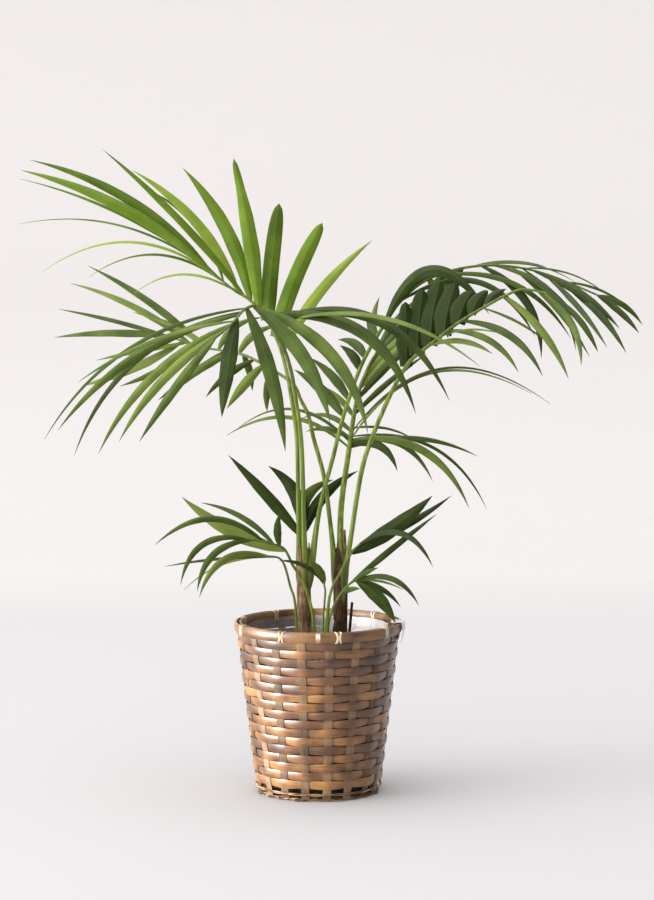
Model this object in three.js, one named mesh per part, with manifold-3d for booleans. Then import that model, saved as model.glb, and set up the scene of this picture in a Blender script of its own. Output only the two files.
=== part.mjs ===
// A potted kentia palm: two stems with feather-shaped fronds in a nursery pot of soil, which stands
// with a clear film liner in a woven bamboo basket. Millimetres, +Z up. The origin is the middle of
// the basket's underside, on the surface it stands on, and -Y is the side the plant is seen from.
import * as THREE from "three";
import { mergeVertices } from "three/addons/utils/BufferGeometryUtils.js";
import Module from "manifold-3d";

const wasm = await Module();
wasm.setup();

// Driving dimensions of the basket.
const BASKET_HEIGHT = 295;
const BASKET_TOP_RADIUS = 140; // outside of the weave under the rim hoops
const BASKET_FOOT_RADIUS = 109.5; // outside of the weave at its lowest row
const BASKET_WALL = 4;
const BASE_THICKNESS = 5;
const FOOT_BAND = 24; // height of the open band where the stakes turn in under the basket
const FOOT_TUCK = 6; // how far the stakes turn in over that band
const FOOT_ROD_RADIUS = 2;
const HOOP_HEIGHT = 17;
const HOOP_THICKNESS = 4;
const TIE_COUNT = 9;
const TIE_FIRST_ANGLE = 14; // degrees round from the front, towards +X
const TIE_WIDTH = 9;
const TIE_THICKNESS = 2;
const TIE_DROP = 19; // how far a tie reaches down over the hoops

// Driving dimensions of what stands in the basket.
const POT_HEIGHT = 215;
const POT_LIP_CLEARANCE = 8; // between the pot's lip and the liner
const POT_FOOT_CLEARANCE = 10; // between the pot's foot and the liner
const POT_WALL = 2;
const POT_FLOOR = 3;
const POT_LIP = 3;
const DRAIN_HOLES = 4;
const DRAIN_RADIUS = 7;
const SOIL_BELOW_RIM = 15;
const LINER_FILM = 0.8;
const LINER_BELOW_RIM = 11;
const FLAP_WIDTH = 34;
const FLAP_DROP = 42;
const FLAP_ANGLE = 82; // degrees round from the front, towards +X

// Driving dimensions of the plant.
const STEM_HEIGHT = 175;
const STEM_FOOT_RADIUS = 13;
const STEM_TOP_RADIUS = 11.5;
const BLADE_THICKNESS = 1.3;
const BLADE_FOLD = 0.16; // how far a blade's edges drop below its midrib, as a share of its width
const GAP = 0.3; // clearance between pieces that touch

const ROUND = 36; // sides of a turned piece
const FLAT = Math.cos(Math.PI / ROUND); // the radius in the middle of a side, as a share
const RIM_OUTSIDE = BASKET_TOP_RADIUS + GAP + HOOP_THICKNESS;

const colours = {
  leaf: 0x4f7f33,
  paleLeaf: 0x6f9a3c,
  darkLeaf: 0x33591f,
  stem: 0x6b513a,
  stub: 0x1f1a16,
  soil: 0x3b2c22,
  pot: 0x2c2a28,
  film: 0xd9d5cf,
  bamboo: 0xa06c3a,
  hoop: 0x9a6232,
  tie: 0xd8c6a4,
};

const palm = new THREE.Group();

// Adds a named piece to the palm.
function place(name, geometry, color, roughness = 0.6) {
  const material = new THREE.MeshStandardMaterial({ color, roughness, metalness: 0 });
  const mesh = new THREE.Mesh(geometry, material);
  mesh.name = name;
  palm.add(mesh);
}

// A closed three.js geometry as a solid that can be joined and cut.
function solid(geometry) {
  const bare = geometry.clone();
  bare.deleteAttribute("normal");
  bare.deleteAttribute("uv");
  const merged = mergeVertices(bare, 1e-4);
  const vertProperties = new Float32Array(merged.attributes.position.array);
  const triVerts = new Uint32Array(merged.index.array);
  return new wasm.Manifold(new wasm.Mesh({ numProp: 3, vertProperties, triVerts }));
}

// A joined or cut solid as a three.js geometry again.
function geometryOf(body) {
  const mesh = body.getMesh();
  const geometry = new THREE.BufferGeometry();
  geometry.setAttribute("position", new THREE.BufferAttribute(mesh.vertProperties, 3));
  geometry.setIndex(new THREE.BufferAttribute(mesh.triVerts, 1));
  geometry.computeVertexNormals();
  return geometry;
}

// A closed skin through rings of points. Every ring has as many points as the first, or is one
// point where the piece ends in a tip.
function loft(rings) {
  const points = rings.flat();
  const triangles = [];
  const sides = rings[0].length;
  for (let i = 2; i < sides; i += 1) {
    triangles.push(0, i, i - 1);
  }
  let start = 0;
  for (let r = 1; r < rings.length; r += 1) {
    const next = start + sides;
    for (let i = 0; i < sides; i += 1) {
      const j = (i + 1) % sides;
      if (rings[r].length === 1) {
        triangles.push(start + i, start + j, next);
      } else {
        triangles.push(start + i, start + j, next + j);
        triangles.push(start + i, next + j, next + i);
      }
    }
    start = next;
  }
  if (rings.at(-1).length > 1) {
    for (let i = 2; i < sides; i += 1) {
      triangles.push(start, start + i - 1, start + i);
    }
  }
  const geometry = new THREE.BufferGeometry();
  const positions = points.flatMap((p) => [p.x, p.y, p.z]);
  geometry.setAttribute("position", new THREE.Float32BufferAttribute(positions, 3));
  geometry.setIndex(triangles);
  return geometry;
}

// A turned piece from its profile of [radius, height] corners, given anticlockwise as seen with
// the radius to the right, so that its faces point out.
function turned(profile, sides = ROUND) {
  const corners = profile.map(([radius, height]) => new THREE.Vector2(radius, height));
  corners.push(corners[0].clone());
  return new THREE.LatheGeometry(corners, sides).rotateX(Math.PI / 2);
}

// A point at an angle round the basket, in degrees from the front (-Y) towards +X.
function around(angle, radius, height) {
  const turn = THREE.MathUtils.degToRad(angle);
  return new THREE.Vector3(radius * Math.sin(turn), -radius * Math.cos(turn), height);
}

// The wall flares up to its shoulder, and stands upright from there, between the hoops.
const SHOULDER = BASKET_HEIGHT - HOOP_HEIGHT - GAP;
const HOOP_INSIDE = BASKET_TOP_RADIUS - BASKET_WALL - GAP - HOOP_THICKNESS;
const TIE_INSIDE = HOOP_INSIDE * FLAT - GAP;

// Basket: a tapering woven wall, a woven base, two rods round its foot, and two hoops round its
// rim, which are tied on by pairs of cane loops.
function basketWall() {
  const foot = BASE_THICKNESS + GAP;
  const tuck = BASKET_FOOT_RADIUS - FOOT_TUCK;
  return turned([
    [tuck - BASKET_WALL, foot],
    [tuck, foot],
    [BASKET_FOOT_RADIUS - FOOT_TUCK / 4, (foot + FOOT_BAND) / 2],
    [BASKET_FOOT_RADIUS, FOOT_BAND],
    [BASKET_TOP_RADIUS, SHOULDER],
    [BASKET_TOP_RADIUS, BASKET_HEIGHT - GAP],
    [BASKET_TOP_RADIUS - BASKET_WALL, BASKET_HEIGHT - GAP],
    [BASKET_TOP_RADIUS - BASKET_WALL, SHOULDER],
    [BASKET_FOOT_RADIUS - BASKET_WALL, FOOT_BAND],
  ]);
}

function basketBase() {
  const radius = BASKET_FOOT_RADIUS - FOOT_TUCK;
  return turned([
    [0, 0],
    [radius - 2, 0],
    [radius, 2],
    [radius, BASE_THICKNESS],
    [0, BASE_THICKNESS],
  ]);
}

function footRod(radius, height) {
  const section = [];
  const sides = 6;
  for (let i = 0; i < sides; i += 1) {
    const turn = (i / sides) * 2 * Math.PI;
    section.push([
      radius + FOOT_ROD_RADIUS * Math.cos(turn),
      height + FOOT_ROD_RADIUS * Math.sin(turn),
    ]);
  }
  return turned(section);
}

function hoop(insideRadius) {
  const foot = BASKET_HEIGHT - HOOP_HEIGHT;
  return turned([
    [insideRadius, foot],
    [insideRadius + HOOP_THICKNESS, foot],
    [insideRadius + HOOP_THICKNESS, BASKET_HEIGHT - 1],
    [insideRadius + HOOP_THICKNESS - 1, BASKET_HEIGHT],
    [insideRadius + 1, BASKET_HEIGHT],
    [insideRadius, BASKET_HEIGHT - 1],
  ]);
}

// A tie is a saddle over both hoops, open below, where the wall comes up between its legs.
function rimTie(angle) {
  const inside = TIE_INSIDE;
  const outside = RIM_OUTSIDE + GAP;
  const top = BASKET_HEIGHT + GAP;
  const foot = top - TIE_DROP;
  const outline = new THREE.Shape();
  outline.moveTo(inside - TIE_THICKNESS, foot);
  outline.lineTo(inside - TIE_THICKNESS, top + TIE_THICKNESS);
  outline.lineTo(outside + TIE_THICKNESS, top + TIE_THICKNESS);
  outline.lineTo(outside + TIE_THICKNESS, foot);
  outline.lineTo(outside, foot);
  outline.lineTo(outside, top);
  outline.lineTo(inside, top);
  outline.lineTo(inside, foot);
  const strap = new THREE.ExtrudeGeometry(outline, { depth: TIE_WIDTH, bevelEnabled: false });
  strap.translate(0, 0, -TIE_WIDTH / 2).rotateX(Math.PI / 2);
  return strap.rotateZ(THREE.MathUtils.degToRad(angle - 90));
}

// Film liner, nursery pot and soil, which stand in the basket. The liner leans on the weave, and
// stands upright at its mouth, inside the ties.
const LINER_FOOT = BASE_THICKNESS + GAP;
const LINER_FOOT_RADIUS = BASKET_FOOT_RADIUS - FOOT_TUCK - BASKET_WALL - GAP;
const LINER_BELLY_RADIUS = BASKET_FOOT_RADIUS - BASKET_WALL - GAP;
const LINER_MOUTH_RADIUS = TIE_INSIDE - TIE_THICKNESS - GAP;
const LINER_UPRIGHT = SHOULDER - FOOT_BAND; // the height from which the liner stands upright
const POT_FOOT = LINER_FOOT + LINER_FILM + GAP;
const POT_RIM = POT_FOOT + POT_HEIGHT;
const SOIL_TOP = POT_RIM - SOIL_BELOW_RIM;

// The outside radius of the liner at a height over its belly.
function linerRadius(height) {
  const share = Math.min((height - FOOT_BAND) / (LINER_UPRIGHT - FOOT_BAND), 1);
  return LINER_BELLY_RADIUS + share * (LINER_MOUTH_RADIUS - LINER_BELLY_RADIUS);
}

const POT_TOP_RADIUS = linerRadius(POT_RIM) - LINER_FILM - POT_LIP_CLEARANCE;
const POT_FOOT_RADIUS = LINER_FOOT_RADIUS - LINER_FILM - POT_FOOT_CLEARANCE;

function nurseryPot() {
  const cup = turned([
    [0, POT_FOOT],
    [POT_FOOT_RADIUS, POT_FOOT],
    [POT_TOP_RADIUS - POT_LIP, POT_RIM - 4 * POT_LIP],
    [POT_TOP_RADIUS, POT_RIM - 4 * POT_LIP],
    [POT_TOP_RADIUS, POT_RIM],
    [POT_TOP_RADIUS - POT_LIP - POT_WALL, POT_RIM],
    [POT_FOOT_RADIUS - POT_WALL, POT_FOOT + POT_FLOOR],
    [0, POT_FOOT + POT_FLOOR],
  ]);
  let pot = solid(cup);
  for (let i = 0; i < DRAIN_HOLES; i += 1) {
    const centre = around((i * 360) / DRAIN_HOLES, POT_FOOT_RADIUS * 0.6, POT_FOOT + POT_FLOOR / 2);
    const drill = new THREE.CylinderGeometry(DRAIN_RADIUS, DRAIN_RADIUS, 3 * POT_FLOOR, 10);
    drill.rotateX(Math.PI / 2).translate(centre.x, centre.y, centre.z);
    pot = pot.subtract(solid(drill));
  }
  return geometryOf(pot);
}

// The inside radius of the pot's wall at a height above the pot's foot.
function potInside(height) {
  const share = (height - POT_FLOOR) / (POT_HEIGHT - POT_FLOOR);
  const foot = POT_FOOT_RADIUS - POT_WALL;
  return foot + share * (POT_TOP_RADIUS - POT_LIP - POT_WALL - foot);
}

function soil() {
  const foot = POT_FLOOR + GAP;
  const top = SOIL_TOP - POT_FOOT;
  return turned([
    [0, POT_FOOT + foot],
    [potInside(foot) - GAP, POT_FOOT + foot],
    [potInside(top) - GAP, SOIL_TOP],
    [0, SOIL_TOP],
  ]);
}

// The liner is a bag of clear film round the pot.
function linerBag() {
  const top = BASKET_HEIGHT - LINER_BELOW_RIM;
  return turned([
    [0, LINER_FOOT],
    [LINER_FOOT_RADIUS, LINER_FOOT],
    [LINER_BELLY_RADIUS, FOOT_BAND],
    [LINER_MOUTH_RADIUS, LINER_UPRIGHT],
    [LINER_MOUTH_RADIUS, top],
    [LINER_MOUTH_RADIUS - LINER_FILM, top],
    [LINER_MOUTH_RADIUS - LINER_FILM, LINER_UPRIGHT],
    [LINER_BELLY_RADIUS - LINER_FILM, FOOT_BAND],
    [LINER_FOOT_RADIUS - LINER_FILM, LINER_FOOT + LINER_FILM],
    [0, LINER_FOOT + LINER_FILM],
  ]);
}

// One flap of the liner stands up from its mouth and is folded out over the rim.
function linerFlap() {
  const inner = LINER_MOUTH_RADIUS - 1.5; // its inner side, set into the bag
  const outer = RIM_OUTSIDE + TIE_THICKNESS + 3;
  const top = BASKET_HEIGHT - LINER_BELOW_RIM;
  const root = top - 10;
  const over = BASKET_HEIGHT + 2;
  const outline = new THREE.Shape();
  outline.moveTo(inner - 1.5, root);
  outline.lineTo(inner, top);
  outline.lineTo(inner, over + LINER_FILM);
  outline.lineTo(outer + LINER_FILM, over + LINER_FILM);
  outline.lineTo(outer + LINER_FILM, over - FLAP_DROP);
  outline.lineTo(outer, over - FLAP_DROP);
  outline.lineTo(outer, over);
  outline.lineTo(inner + 1, over);
  outline.lineTo(inner + 1, root);
  const flap = new THREE.ExtrudeGeometry(outline, { depth: FLAP_WIDTH, bevelEnabled: false });
  flap.translate(0, 0, -FLAP_WIDTH / 2).rotateX(Math.PI / 2);
  return flap.rotateZ(THREE.MathUtils.degToRad(FLAP_ANGLE - 90));
}

function filmLiner() {
  return geometryOf(solid(linerBag()).add(solid(linerFlap())));
}

// One leaflet: where it leaves the leafy stretch of its frond (0 at the lowest, 1 at the end), its
// tip, how far its middle bows up from the straight line, its width, and how far its upper side
// faces the sky (90) rather than the front (0).
function leaf(at, x, y, z, bow, width, face) {
  return { at, tip: new THREE.Vector3(x, y, z), bow, width, face };
}

// The route of a leaflet's midrib from its place on the frond to its tip.
function midrib(base, { tip, bow }) {
  const chord = tip.clone().sub(base);
  const up = new THREE.Vector3(-chord.z, 0, chord.x).normalize();
  if (up.z < 0) {
    up.negate();
  }
  const middle = base.clone().add(tip).multiplyScalar(0.5).addScaledVector(up, 2 * bow);
  return new THREE.QuadraticBezierCurve3(base, middle, tip);
}

// Widths of a blade along its midrib, as [share of the length, share of the full width].
const bladeShape = [
  [0, 0.42],
  [0.1, 0.8],
  [0.32, 1],
  [0.62, 0.86],
  [0.84, 0.45],
];

// A folded blade, like a shallow roof along its midrib, that ends in a point.
function blade(base, leaflet) {
  const route = midrib(base, leaflet);
  const face = THREE.MathUtils.degToRad(leaflet.face);
  const facing = new THREE.Vector3(0, -Math.cos(face), Math.sin(face));
  const rings = bladeShape.map(([share, wide]) => {
    const centre = route.getPoint(share);
    const along = route.getTangent(share);
    const normal = facing.clone().addScaledVector(along, -facing.dot(along)).normalize();
    const across = new THREE.Vector3().crossVectors(along, normal);
    const half = (leaflet.width * wide) / 2;
    const drop = -BLADE_FOLD * 2 * half;
    const corners = [
      [-half, drop],
      [0, BLADE_THICKNESS / 2],
      [half, drop],
      [0, -BLADE_THICKNESS / 2],
    ];
    return corners.map(([a, n]) =>
      centre.clone().addScaledVector(across, a).addScaledVector(normal, n),
    );
  });
  rings.push([leaflet.tip]);
  return loft(rings);
}

const STALK_SIDES = 6;
const STALK_STEP = 30; // length of one straight piece of a stalk

// The middle line of a stalk, as the even steps that its straight pieces run between.
function spine(route) {
  const curve = new THREE.CatmullRomCurve3(route.map(([x, y, z]) => new THREE.Vector3(x, y, z)));
  const steps = Math.max(4, Math.round(curve.getLength() / STALK_STEP));
  const { normals, binormals } = curve.computeFrenetFrames(steps, false);
  return { centres: curve.getSpacedPoints(steps), normals, binormals, steps };
}

function pointOn({ centres, steps }, share) {
  const step = Math.min(Math.floor(share * steps), steps - 1);
  return centres[step].clone().lerp(centres[step + 1], share * steps - step);
}

// A round stalk that thins towards its end, with its foot cut level.
function stalk({ centres, normals, binormals, steps }, footRadius, endRadius) {
  const rings = centres.map((centre, s) => {
    const radius = footRadius + (endRadius - footRadius) * (s / steps) ** 1.3;
    const ring = [];
    for (let i = 0; i < STALK_SIDES; i += 1) {
      const turn = (i / STALK_SIDES) * 2 * Math.PI;
      const corner = centre.clone();
      corner.addScaledVector(normals[s], radius * Math.cos(turn));
      corner.addScaledVector(binormals[s], radius * Math.sin(turn));
      ring.push(corner);
    }
    return ring;
  });
  for (const corner of rings[0]) {
    corner.z = centres[0].z;
  }
  return loft(rings);
}

// A frond grows as one piece: a round petiole that runs on into its rachis, with leaflets. Its
// heights are measured from the level it stands on.
function frond(name, { on, route, foot, end, leafy, leaves, color = colours.leaf }) {
  const line = spine(route);
  let body = solid(stalk(line, foot, end));
  for (const leaflet of leaves) {
    const share = leafy + (1 - leafy) * leaflet.at * 0.985;
    body = body.add(solid(blade(pointOn(line, share), leaflet)));
  }
  place(name, geometryOf(body).translate(0, 0, on), color, 0.45);
}

// The two stems stand in the soil, and each carries its fronds' stalks on its top.
const STEM_FOOT = SOIL_TOP + GAP;
const STEM_TOP = STEM_FOOT + STEM_HEIGHT;
const ON_STEM = STEM_TOP + GAP; // the level that a frond's stalk stands on, on a stem

function stem(x, y) {
  const trunk = turned(
    [
      [0, STEM_FOOT],
      [STEM_FOOT_RADIUS, STEM_FOOT],
      [STEM_TOP_RADIUS + 0.5, STEM_FOOT + STEM_HEIGHT * 0.4],
      [STEM_TOP_RADIUS, STEM_TOP],
      [0, STEM_TOP],
    ],
    12,
  );
  return trunk.translate(x, y, 0);
}

// An old petiole that was cut off, or a sheath that dried: a plain tapering peg.
function peg(on, route, foot, end) {
  return stalk(spine(route), foot, end).translate(0, 0, on);
}

place("basket_base", basketBase(), colours.bamboo, 0.5);
place("basket_wall", basketWall(), colours.bamboo, 0.45);
const FOOT_OUTSIDE = BASKET_FOOT_RADIUS - FOOT_TUCK;
place("foot_rod_lower", footRod(FOOT_OUTSIDE + FOOT_ROD_RADIUS + GAP, FOOT_ROD_RADIUS + GAP), colours.hoop);
place("foot_rod_upper", footRod(BASKET_FOOT_RADIUS + FOOT_ROD_RADIUS + GAP, FOOT_BAND / 2), colours.hoop);
place("rim_hoop_outer", hoop(BASKET_TOP_RADIUS + GAP), colours.hoop, 0.4);
place("rim_hoop_inner", hoop(HOOP_INSIDE), colours.hoop, 0.4);
for (let i = 0; i < TIE_COUNT; i += 1) {
  place(`rim_tie_${i + 1}`, rimTie(TIE_FIRST_ANGLE + (i * 360) / TIE_COUNT), colours.tie, 0.7);
}
place("film_liner", filmLiner(), colours.film, 0.15);
place("nursery_pot", nurseryPot(), colours.pot, 0.5);
place("soil", soil(), colours.soil, 0.95);
place("left_stem", stem(-25, 8), colours.stem, 0.85);
place("right_stem", stem(38, 2), colours.stem, 0.85);
place("cut_petiole", peg(STEM_FOOT, [[50, -20, 0], [53, -20, 63], [58, -20, 124]], 3, 2.5), colours.stub);
place("dry_sheath", peg(ON_STEM, [[46, 6, 0], [46, 10, 38], [45, 14, 70]], 2.6, 1.4), colours.stem);

frond("upper_left_frond", {
  on: ON_STEM,
  route: [
    [-32, 12, 0], [-34, 14, 98], [-37, 20, 225], [-48, 30, 306], [-56, 42, 346],
    [-68, 54, 386], [-88, 66, 426], [-118, 78, 460], [-144, 86, 476], [-170, 94, 496], [-196, 102, 521],
  ],
  foot: 4,
  end: 1.8,
  leafy: 0.64,
  color: colours.paleLeaf,
  leaves: [
    leaf(0, 94, 125, 562, 15, 20, 15),
    leaf(0.14, 7, 90, 593, 8, 27, 12),
    leaf(0.3, -68, 115, 626, 3, 28, 12),
    leaf(0.42, -146, 85, 704, 5, 28, 12),
    leaf(0.52, -236, 125, 688, 19, 25, 12),
    leaf(0.58, -370, 60, 720, 11, 14, 30),
    leaf(0.64, -322, 100, 684, 25, 19, 25),
    leaf(0.68, -325, 165, 466, 33, 12, 78),
    leaf(0.78, -403, 175, 496, 46, 12, 80),
    leaf(0.84, -488, 210, 503, 60, 12, 80),
    leaf(0.9, -528, 180, 588, 43, 12, 80),
    leaf(0.95, -520, 145, 668, 22, 12, 70),
    leaf(0.8, -300, 110, 652, 26, 9, 40),
    leaf(1, -513, 90, 684, 24, 22, 40),
    leaf(1, -500, 125, 701, 30, 19, 35),
  ],
});

frond("left_front_frond", {
  on: ON_STEM,
  route: [
    [-23, 2, 0], [-25, 0, 98], [-29, -6, 225], [-40, -14, 307], [-46, -24, 345], [-58, -40, 385],
    [-78, -62, 425], [-100, -88, 458], [-122, -125, 456], [-141, -165, 436], [-170, -215, 413],
  ],
  foot: 4,
  end: 1.8,
  leafy: 0.69,
  leaves: [
    leaf(0, 263, -300, 373, 50, 14, 65),
    leaf(0.04, 218, -165, 307, 76, 21, 40),
    leaf(0.1, 161, -208, 289, 66, 24, 35),
    leaf(0.2, 82, -235, 259, 40, 24, 25),
    leaf(0.3, 20, -265, 280, 22, 26, 20),
    leaf(0.42, -53, -245, 230, 10, 25, 12),
    leaf(0.62, -156, -272, 289, 3, 27, 10),
    leaf(0.4, -459, -110, 237, 52, 12, 60),
    leaf(0.5, -413, -60, 204, 55, 14, 50),
    leaf(0.55, -430, -185, 259, 36, 19, 45),
    leaf(0.66, -395, -200, 340, 20, 12, 60),
    leaf(0.72, -359, -245, 226, 30, 17, 35),
    leaf(0.86, -322, -295, 251, 18, 17, 30),
    leaf(1, -286, -345, 256, 5, 17, 30),
  ],
});

frond("left_back_frond", {
  on: ON_STEM,
  route: [
    [29, 9, 0], [22, 16, 68], [10, 26, 158], [-8, 30, 225], [-17, 36, 264], [-30, 44, 290],
    [-45, 58, 318], [-89, 90, 344], [-128, 130, 361], [-172, 170, 367], [-218, 205, 372], [-265, 240, 388],
  ],
  foot: 4,
  end: 1.6,
  leafy: 0.6,
  leaves: [
    leaf(0.02, -88, 40, 270, 4, 14, 20),
    leaf(0.1, -158, 66, 273, 4, 18, 20),
    leaf(0.2, -196, 96, 290, 8, 14, 30),
    leaf(0.32, -117, 185, 294, 4, 14, 15),
    leaf(0.36, -70, 215, 408, 14, 16, 40),
    leaf(0.42, -250, 120, 300, 8, 15, 35),
    leaf(0.5, -281, 150, 281, 2, 15, 35),
    leaf(0.56, -98, 290, 418, 18, 16, 50),
    leaf(0.62, -330, 240, 430, 10, 14, 55),
    leaf(0.68, -413, 280, 511, 12, 17, 55),
    leaf(0.74, -352, 200, 301, -4, 16, 40),
    leaf(0.8, -446, 310, 478, 16, 17, 60),
    leaf(0.86, -395, 230, 345, 4, 15, 50),
    leaf(0.9, -423, 262, 297, -6, 22, 50),
    leaf(0.94, -470, 335, 430, 6, 14, 65),
    leaf(1, -475, 300, 381, 10, 20, 55),
  ],
});

frond("right_arch_frond", {
  on: ON_STEM,
  route: [
    [-13, 3, 0], [2, 5, 103], [26, 12, 197], [45, 24, 270], [74, 38, 350], [106, 46, 408],
    [138, 52, 456], [186, 60, 496], [254, 70, 517], [328, 80, 519], [402, 92, 502], [493, 105, 464],
  ],
  foot: 4,
  end: 1.6,
  leafy: 0.31,
  leaves: [
    leaf(0, -42, 105, 338, 8, 20, 30),
    leaf(0.05, -14, 84, 360, 8, 18, 30),
    leaf(0.14, 37, 64, 383, 8, 18, 25),
    leaf(0.18, 34, 104, 390, 12, 18, 30),
    leaf(0.24, 83, 94, 424, 3, 18, 20),
    leaf(0.3, 291, -10, 441, 84, 26, 30),
    leaf(0.38, 368, -30, 404, 66, 15, 50),
    leaf(0.48, 226, 16, 416, 6, 26, 20),
    leaf(0.53, 191, 112, 380, 12, 28, 20),
    leaf(0.58, 227, 140, 390, 14, 28, 20),
    leaf(0.5, 432, 20, 398, 46, 14, 55),
    leaf(0.64, 380, -10, 365, 32, 16, 40),
    leaf(0.6, 402, 225, 512, 11, 12, 82),
    leaf(0.62, 452, 190, 486, 20, 12, 70),
    leaf(0.68, 435, -55, 383, 38, 15, 50),
    leaf(0.73, 455, -100, 375, 12, 12, 55),
    leaf(0.76, 480, 45, 374, 14, 11, 65),
    leaf(0.76, 514, 235, 460, 17, 11, 80),
    leaf(0.8, 512, -25, 417, 14, 17, 45),
    leaf(0.83, 480, -145, 394, 8, 12, 55),
    leaf(0.86, 517, -90, 381, 14, 16, 50),
    leaf(0.9, 545, 130, 440, 12, 11, 65),
    leaf(1, 553, 60, 404, 6, 13, 45),
    leaf(1, 566, 140, 414, 12, 14, 45),
  ],
});

frond("right_frond", {
  on: ON_STEM,
  route: [
    [45, -5, 0], [52, -10, 33], [72, -18, 163], [90, -26, 227], [122, -38, 305], [151, -48, 358],
    [178, -57, 384], [203, -66, 404], [231, -73, 427], [270, -80, 452], [316, -88, 478], [344, -95, 488],
    [382, -105, 482],
  ],
  foot: 4.4,
  end: 1.8,
  leafy: 0.57,
  leaves: [
    leaf(0, 148, -22, 463, 0, 32, 10),
    leaf(0.1, 178, -8, 484, 3, 34, 12),
    leaf(0.2, 207, 6, 496, 4, 34, 15),
    leaf(0.31, 234, 0, 494, 4, 34, 15),
    leaf(0.42, 260, -38, 482, 4, 32, 20),
    leaf(0.52, 287, -42, 483, 6, 24, 25),
    leaf(0.62, 318, -45, 486, 6, 18, 30),
    leaf(0.2, 290, -150, 383, 16, 14, 45),
    leaf(0.28, 306, -185, 418, 12, 9, 70),
    leaf(0.35, 332, -170, 354, 22, 14, 40),
    leaf(0.45, 369, -215, 351, 26, 17, 35),
    leaf(0.6, 383, -120, 400, 8, 9, 70),
    leaf(0.75, 415, -165, 343, 14, 15, 40),
    leaf(1, 460, -205, 391, 14, 12, 45),
    leaf(1, 430, -240, 370, 18, 13, 45),
  ],
});

frond("middle_frond", {
  on: ON_STEM,
  route: [
    [38, 10, 0], [38, 22, 70], [41, 36, 120], [53, 60, 202], [61, 90, 255], [71, 120, 300],
    [81, 140, 325], [91, 160, 346], [106, 185, 369],
  ],
  foot: 3.8,
  end: 1.6,
  leafy: 0.5,
  leaves: [
    leaf(0, -161, 105, 222, 45, 14, 65),
    leaf(0.05, -148, 150, 226, 50, 13, 70),
    leaf(0.08, -22, 112, 229, 12, 13, 40),
    leaf(0.14, -32, 200, 243, 20, 14, 50),
    leaf(0.28, 0, 160, 307, 8, 12, 40),
    leaf(0, 275, 40, 193, 26, 15, 60),
    leaf(0.02, 136, 12, 170, 25, 16, 25),
    leaf(0.04, 197, 20, 151, 36, 12, 40),
    leaf(0.07, 257, -40, 112, 48, 19, 35),
    leaf(0.1, 293, 85, 96, 52, 10, 60),
    leaf(0.18, 176, 132, 207, 14, 12, 70),
    leaf(0.14, 397, 22, 286, 88, 11, 70),
    leaf(0.07, 369, 52, 300, 80, 12, 68),
    leaf(0.3, 190, 140, 363, 6, 12, 40),
    leaf(0.44, 190, 200, 396, 6, 14, 30),
    leaf(0.56, 205, 240, 413, 6, 18, 30),
    leaf(0.68, 210, 270, 430, 6, 18, 30),
    leaf(0.82, 200, 300, 440, 6, 14, 35),
    leaf(1, 175, 330, 448, 6, 14, 40),
    leaf(1, 110, 330, 453, 10, 14, 40),
  ],
});

frond("fan_frond", {
  on: ON_STEM,
  route: [
    [-20, 16, 0], [-22, 19, 28], [-26, 22, 51], [-28, 24, 64],
  ],
  foot: 3,
  end: 2.4,
  leafy: 0.6,
  color: colours.darkLeaf,
  leaves: [
    leaf(0.6, -155, 40, 195, 3, 21, 15),
    leaf(0.9, -87, 62, 174, 20, 26, 15),
    leaf(1, 26, 72, 149, 24, 22, 12),
    leaf(0.7, 69, 74, 164, 18, 21, 15),
  ],
});

frond("small_left_frond", {
  on: STEM_FOOT,
  route: [
    [-2, -26, 0], [-6, -29, 78], [-14, -32, 125], [-28, -34, 165], [-43, -38, 189],
    [-57, -42, 217], [-75, -50, 227], [-98, -60, 234], [-122, -72, 239],
  ],
  foot: 3,
  end: 1.6,
  leafy: 0.75,
  leaves: [
    leaf(0, -233, -20, 305, -12, 26, 30),
    leaf(0.15, -65, -80, 283, 4, 14, 20),
    leaf(0.3, -202, 12, 291, 15, 13, 55),
    leaf(0.55, -274, -120, 235, 44, 15, 50),
    leaf(0.85, -201, -178, 164, 28, 14, 40),
    leaf(1, -230, -150, 171, 36, 13, 35),
  ],
});

frond("lower_left_frond", {
  on: STEM_FOOT,
  route: [
    [-34, -24, 0], [-39, -26, 115], [-48, -30, 153], [-58, -36, 190], [-68, -42, 203], [-86, -50, 207],
  ],
  foot: 2.4,
  end: 1.5,
  leafy: 0.85,
  leaves: [
    leaf(1, -200, -118, 145, 34, 14, 35),
    leaf(0.8, -262, -52, 189, 6, 10, 65),
    leaf(0.5, -232, 20, 138, 22, 10, 60),
  ],
});

frond("small_dark_frond", {
  on: STEM_FOOT,
  route: [
    [6, -44, 0], [8, -48, 83], [11, -51, 129], [12, -52, 148], [9, -54, 163],
  ],
  foot: 2,
  end: 1.5,
  leafy: 0.9,
  color: colours.darkLeaf,
  leaves: [
    leaf(1, -67, -66, 201, 12, 9, 35),
    leaf(0.8, -15, -64, 201, 5, 16, 15),
  ],
});

frond("small_right_frond", {
  on: STEM_FOOT,
  route: [
    [10, -18, 0], [15, -22, 93], [22, -24, 143], [38, -25, 175], [58, -27, 211], [72, -30, 225],
  ],
  foot: 3,
  end: 1.6,
  leafy: 0.85,
  color: colours.darkLeaf,
  leaves: [
    leaf(0.4, 194, -48, 310, -6, 28, 20),
    leaf(0.8, 228, -10, 306, -6, 16, 40),
    leaf(1, 193, -122, 198, 40, 13, 40),
  ],
});

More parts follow.
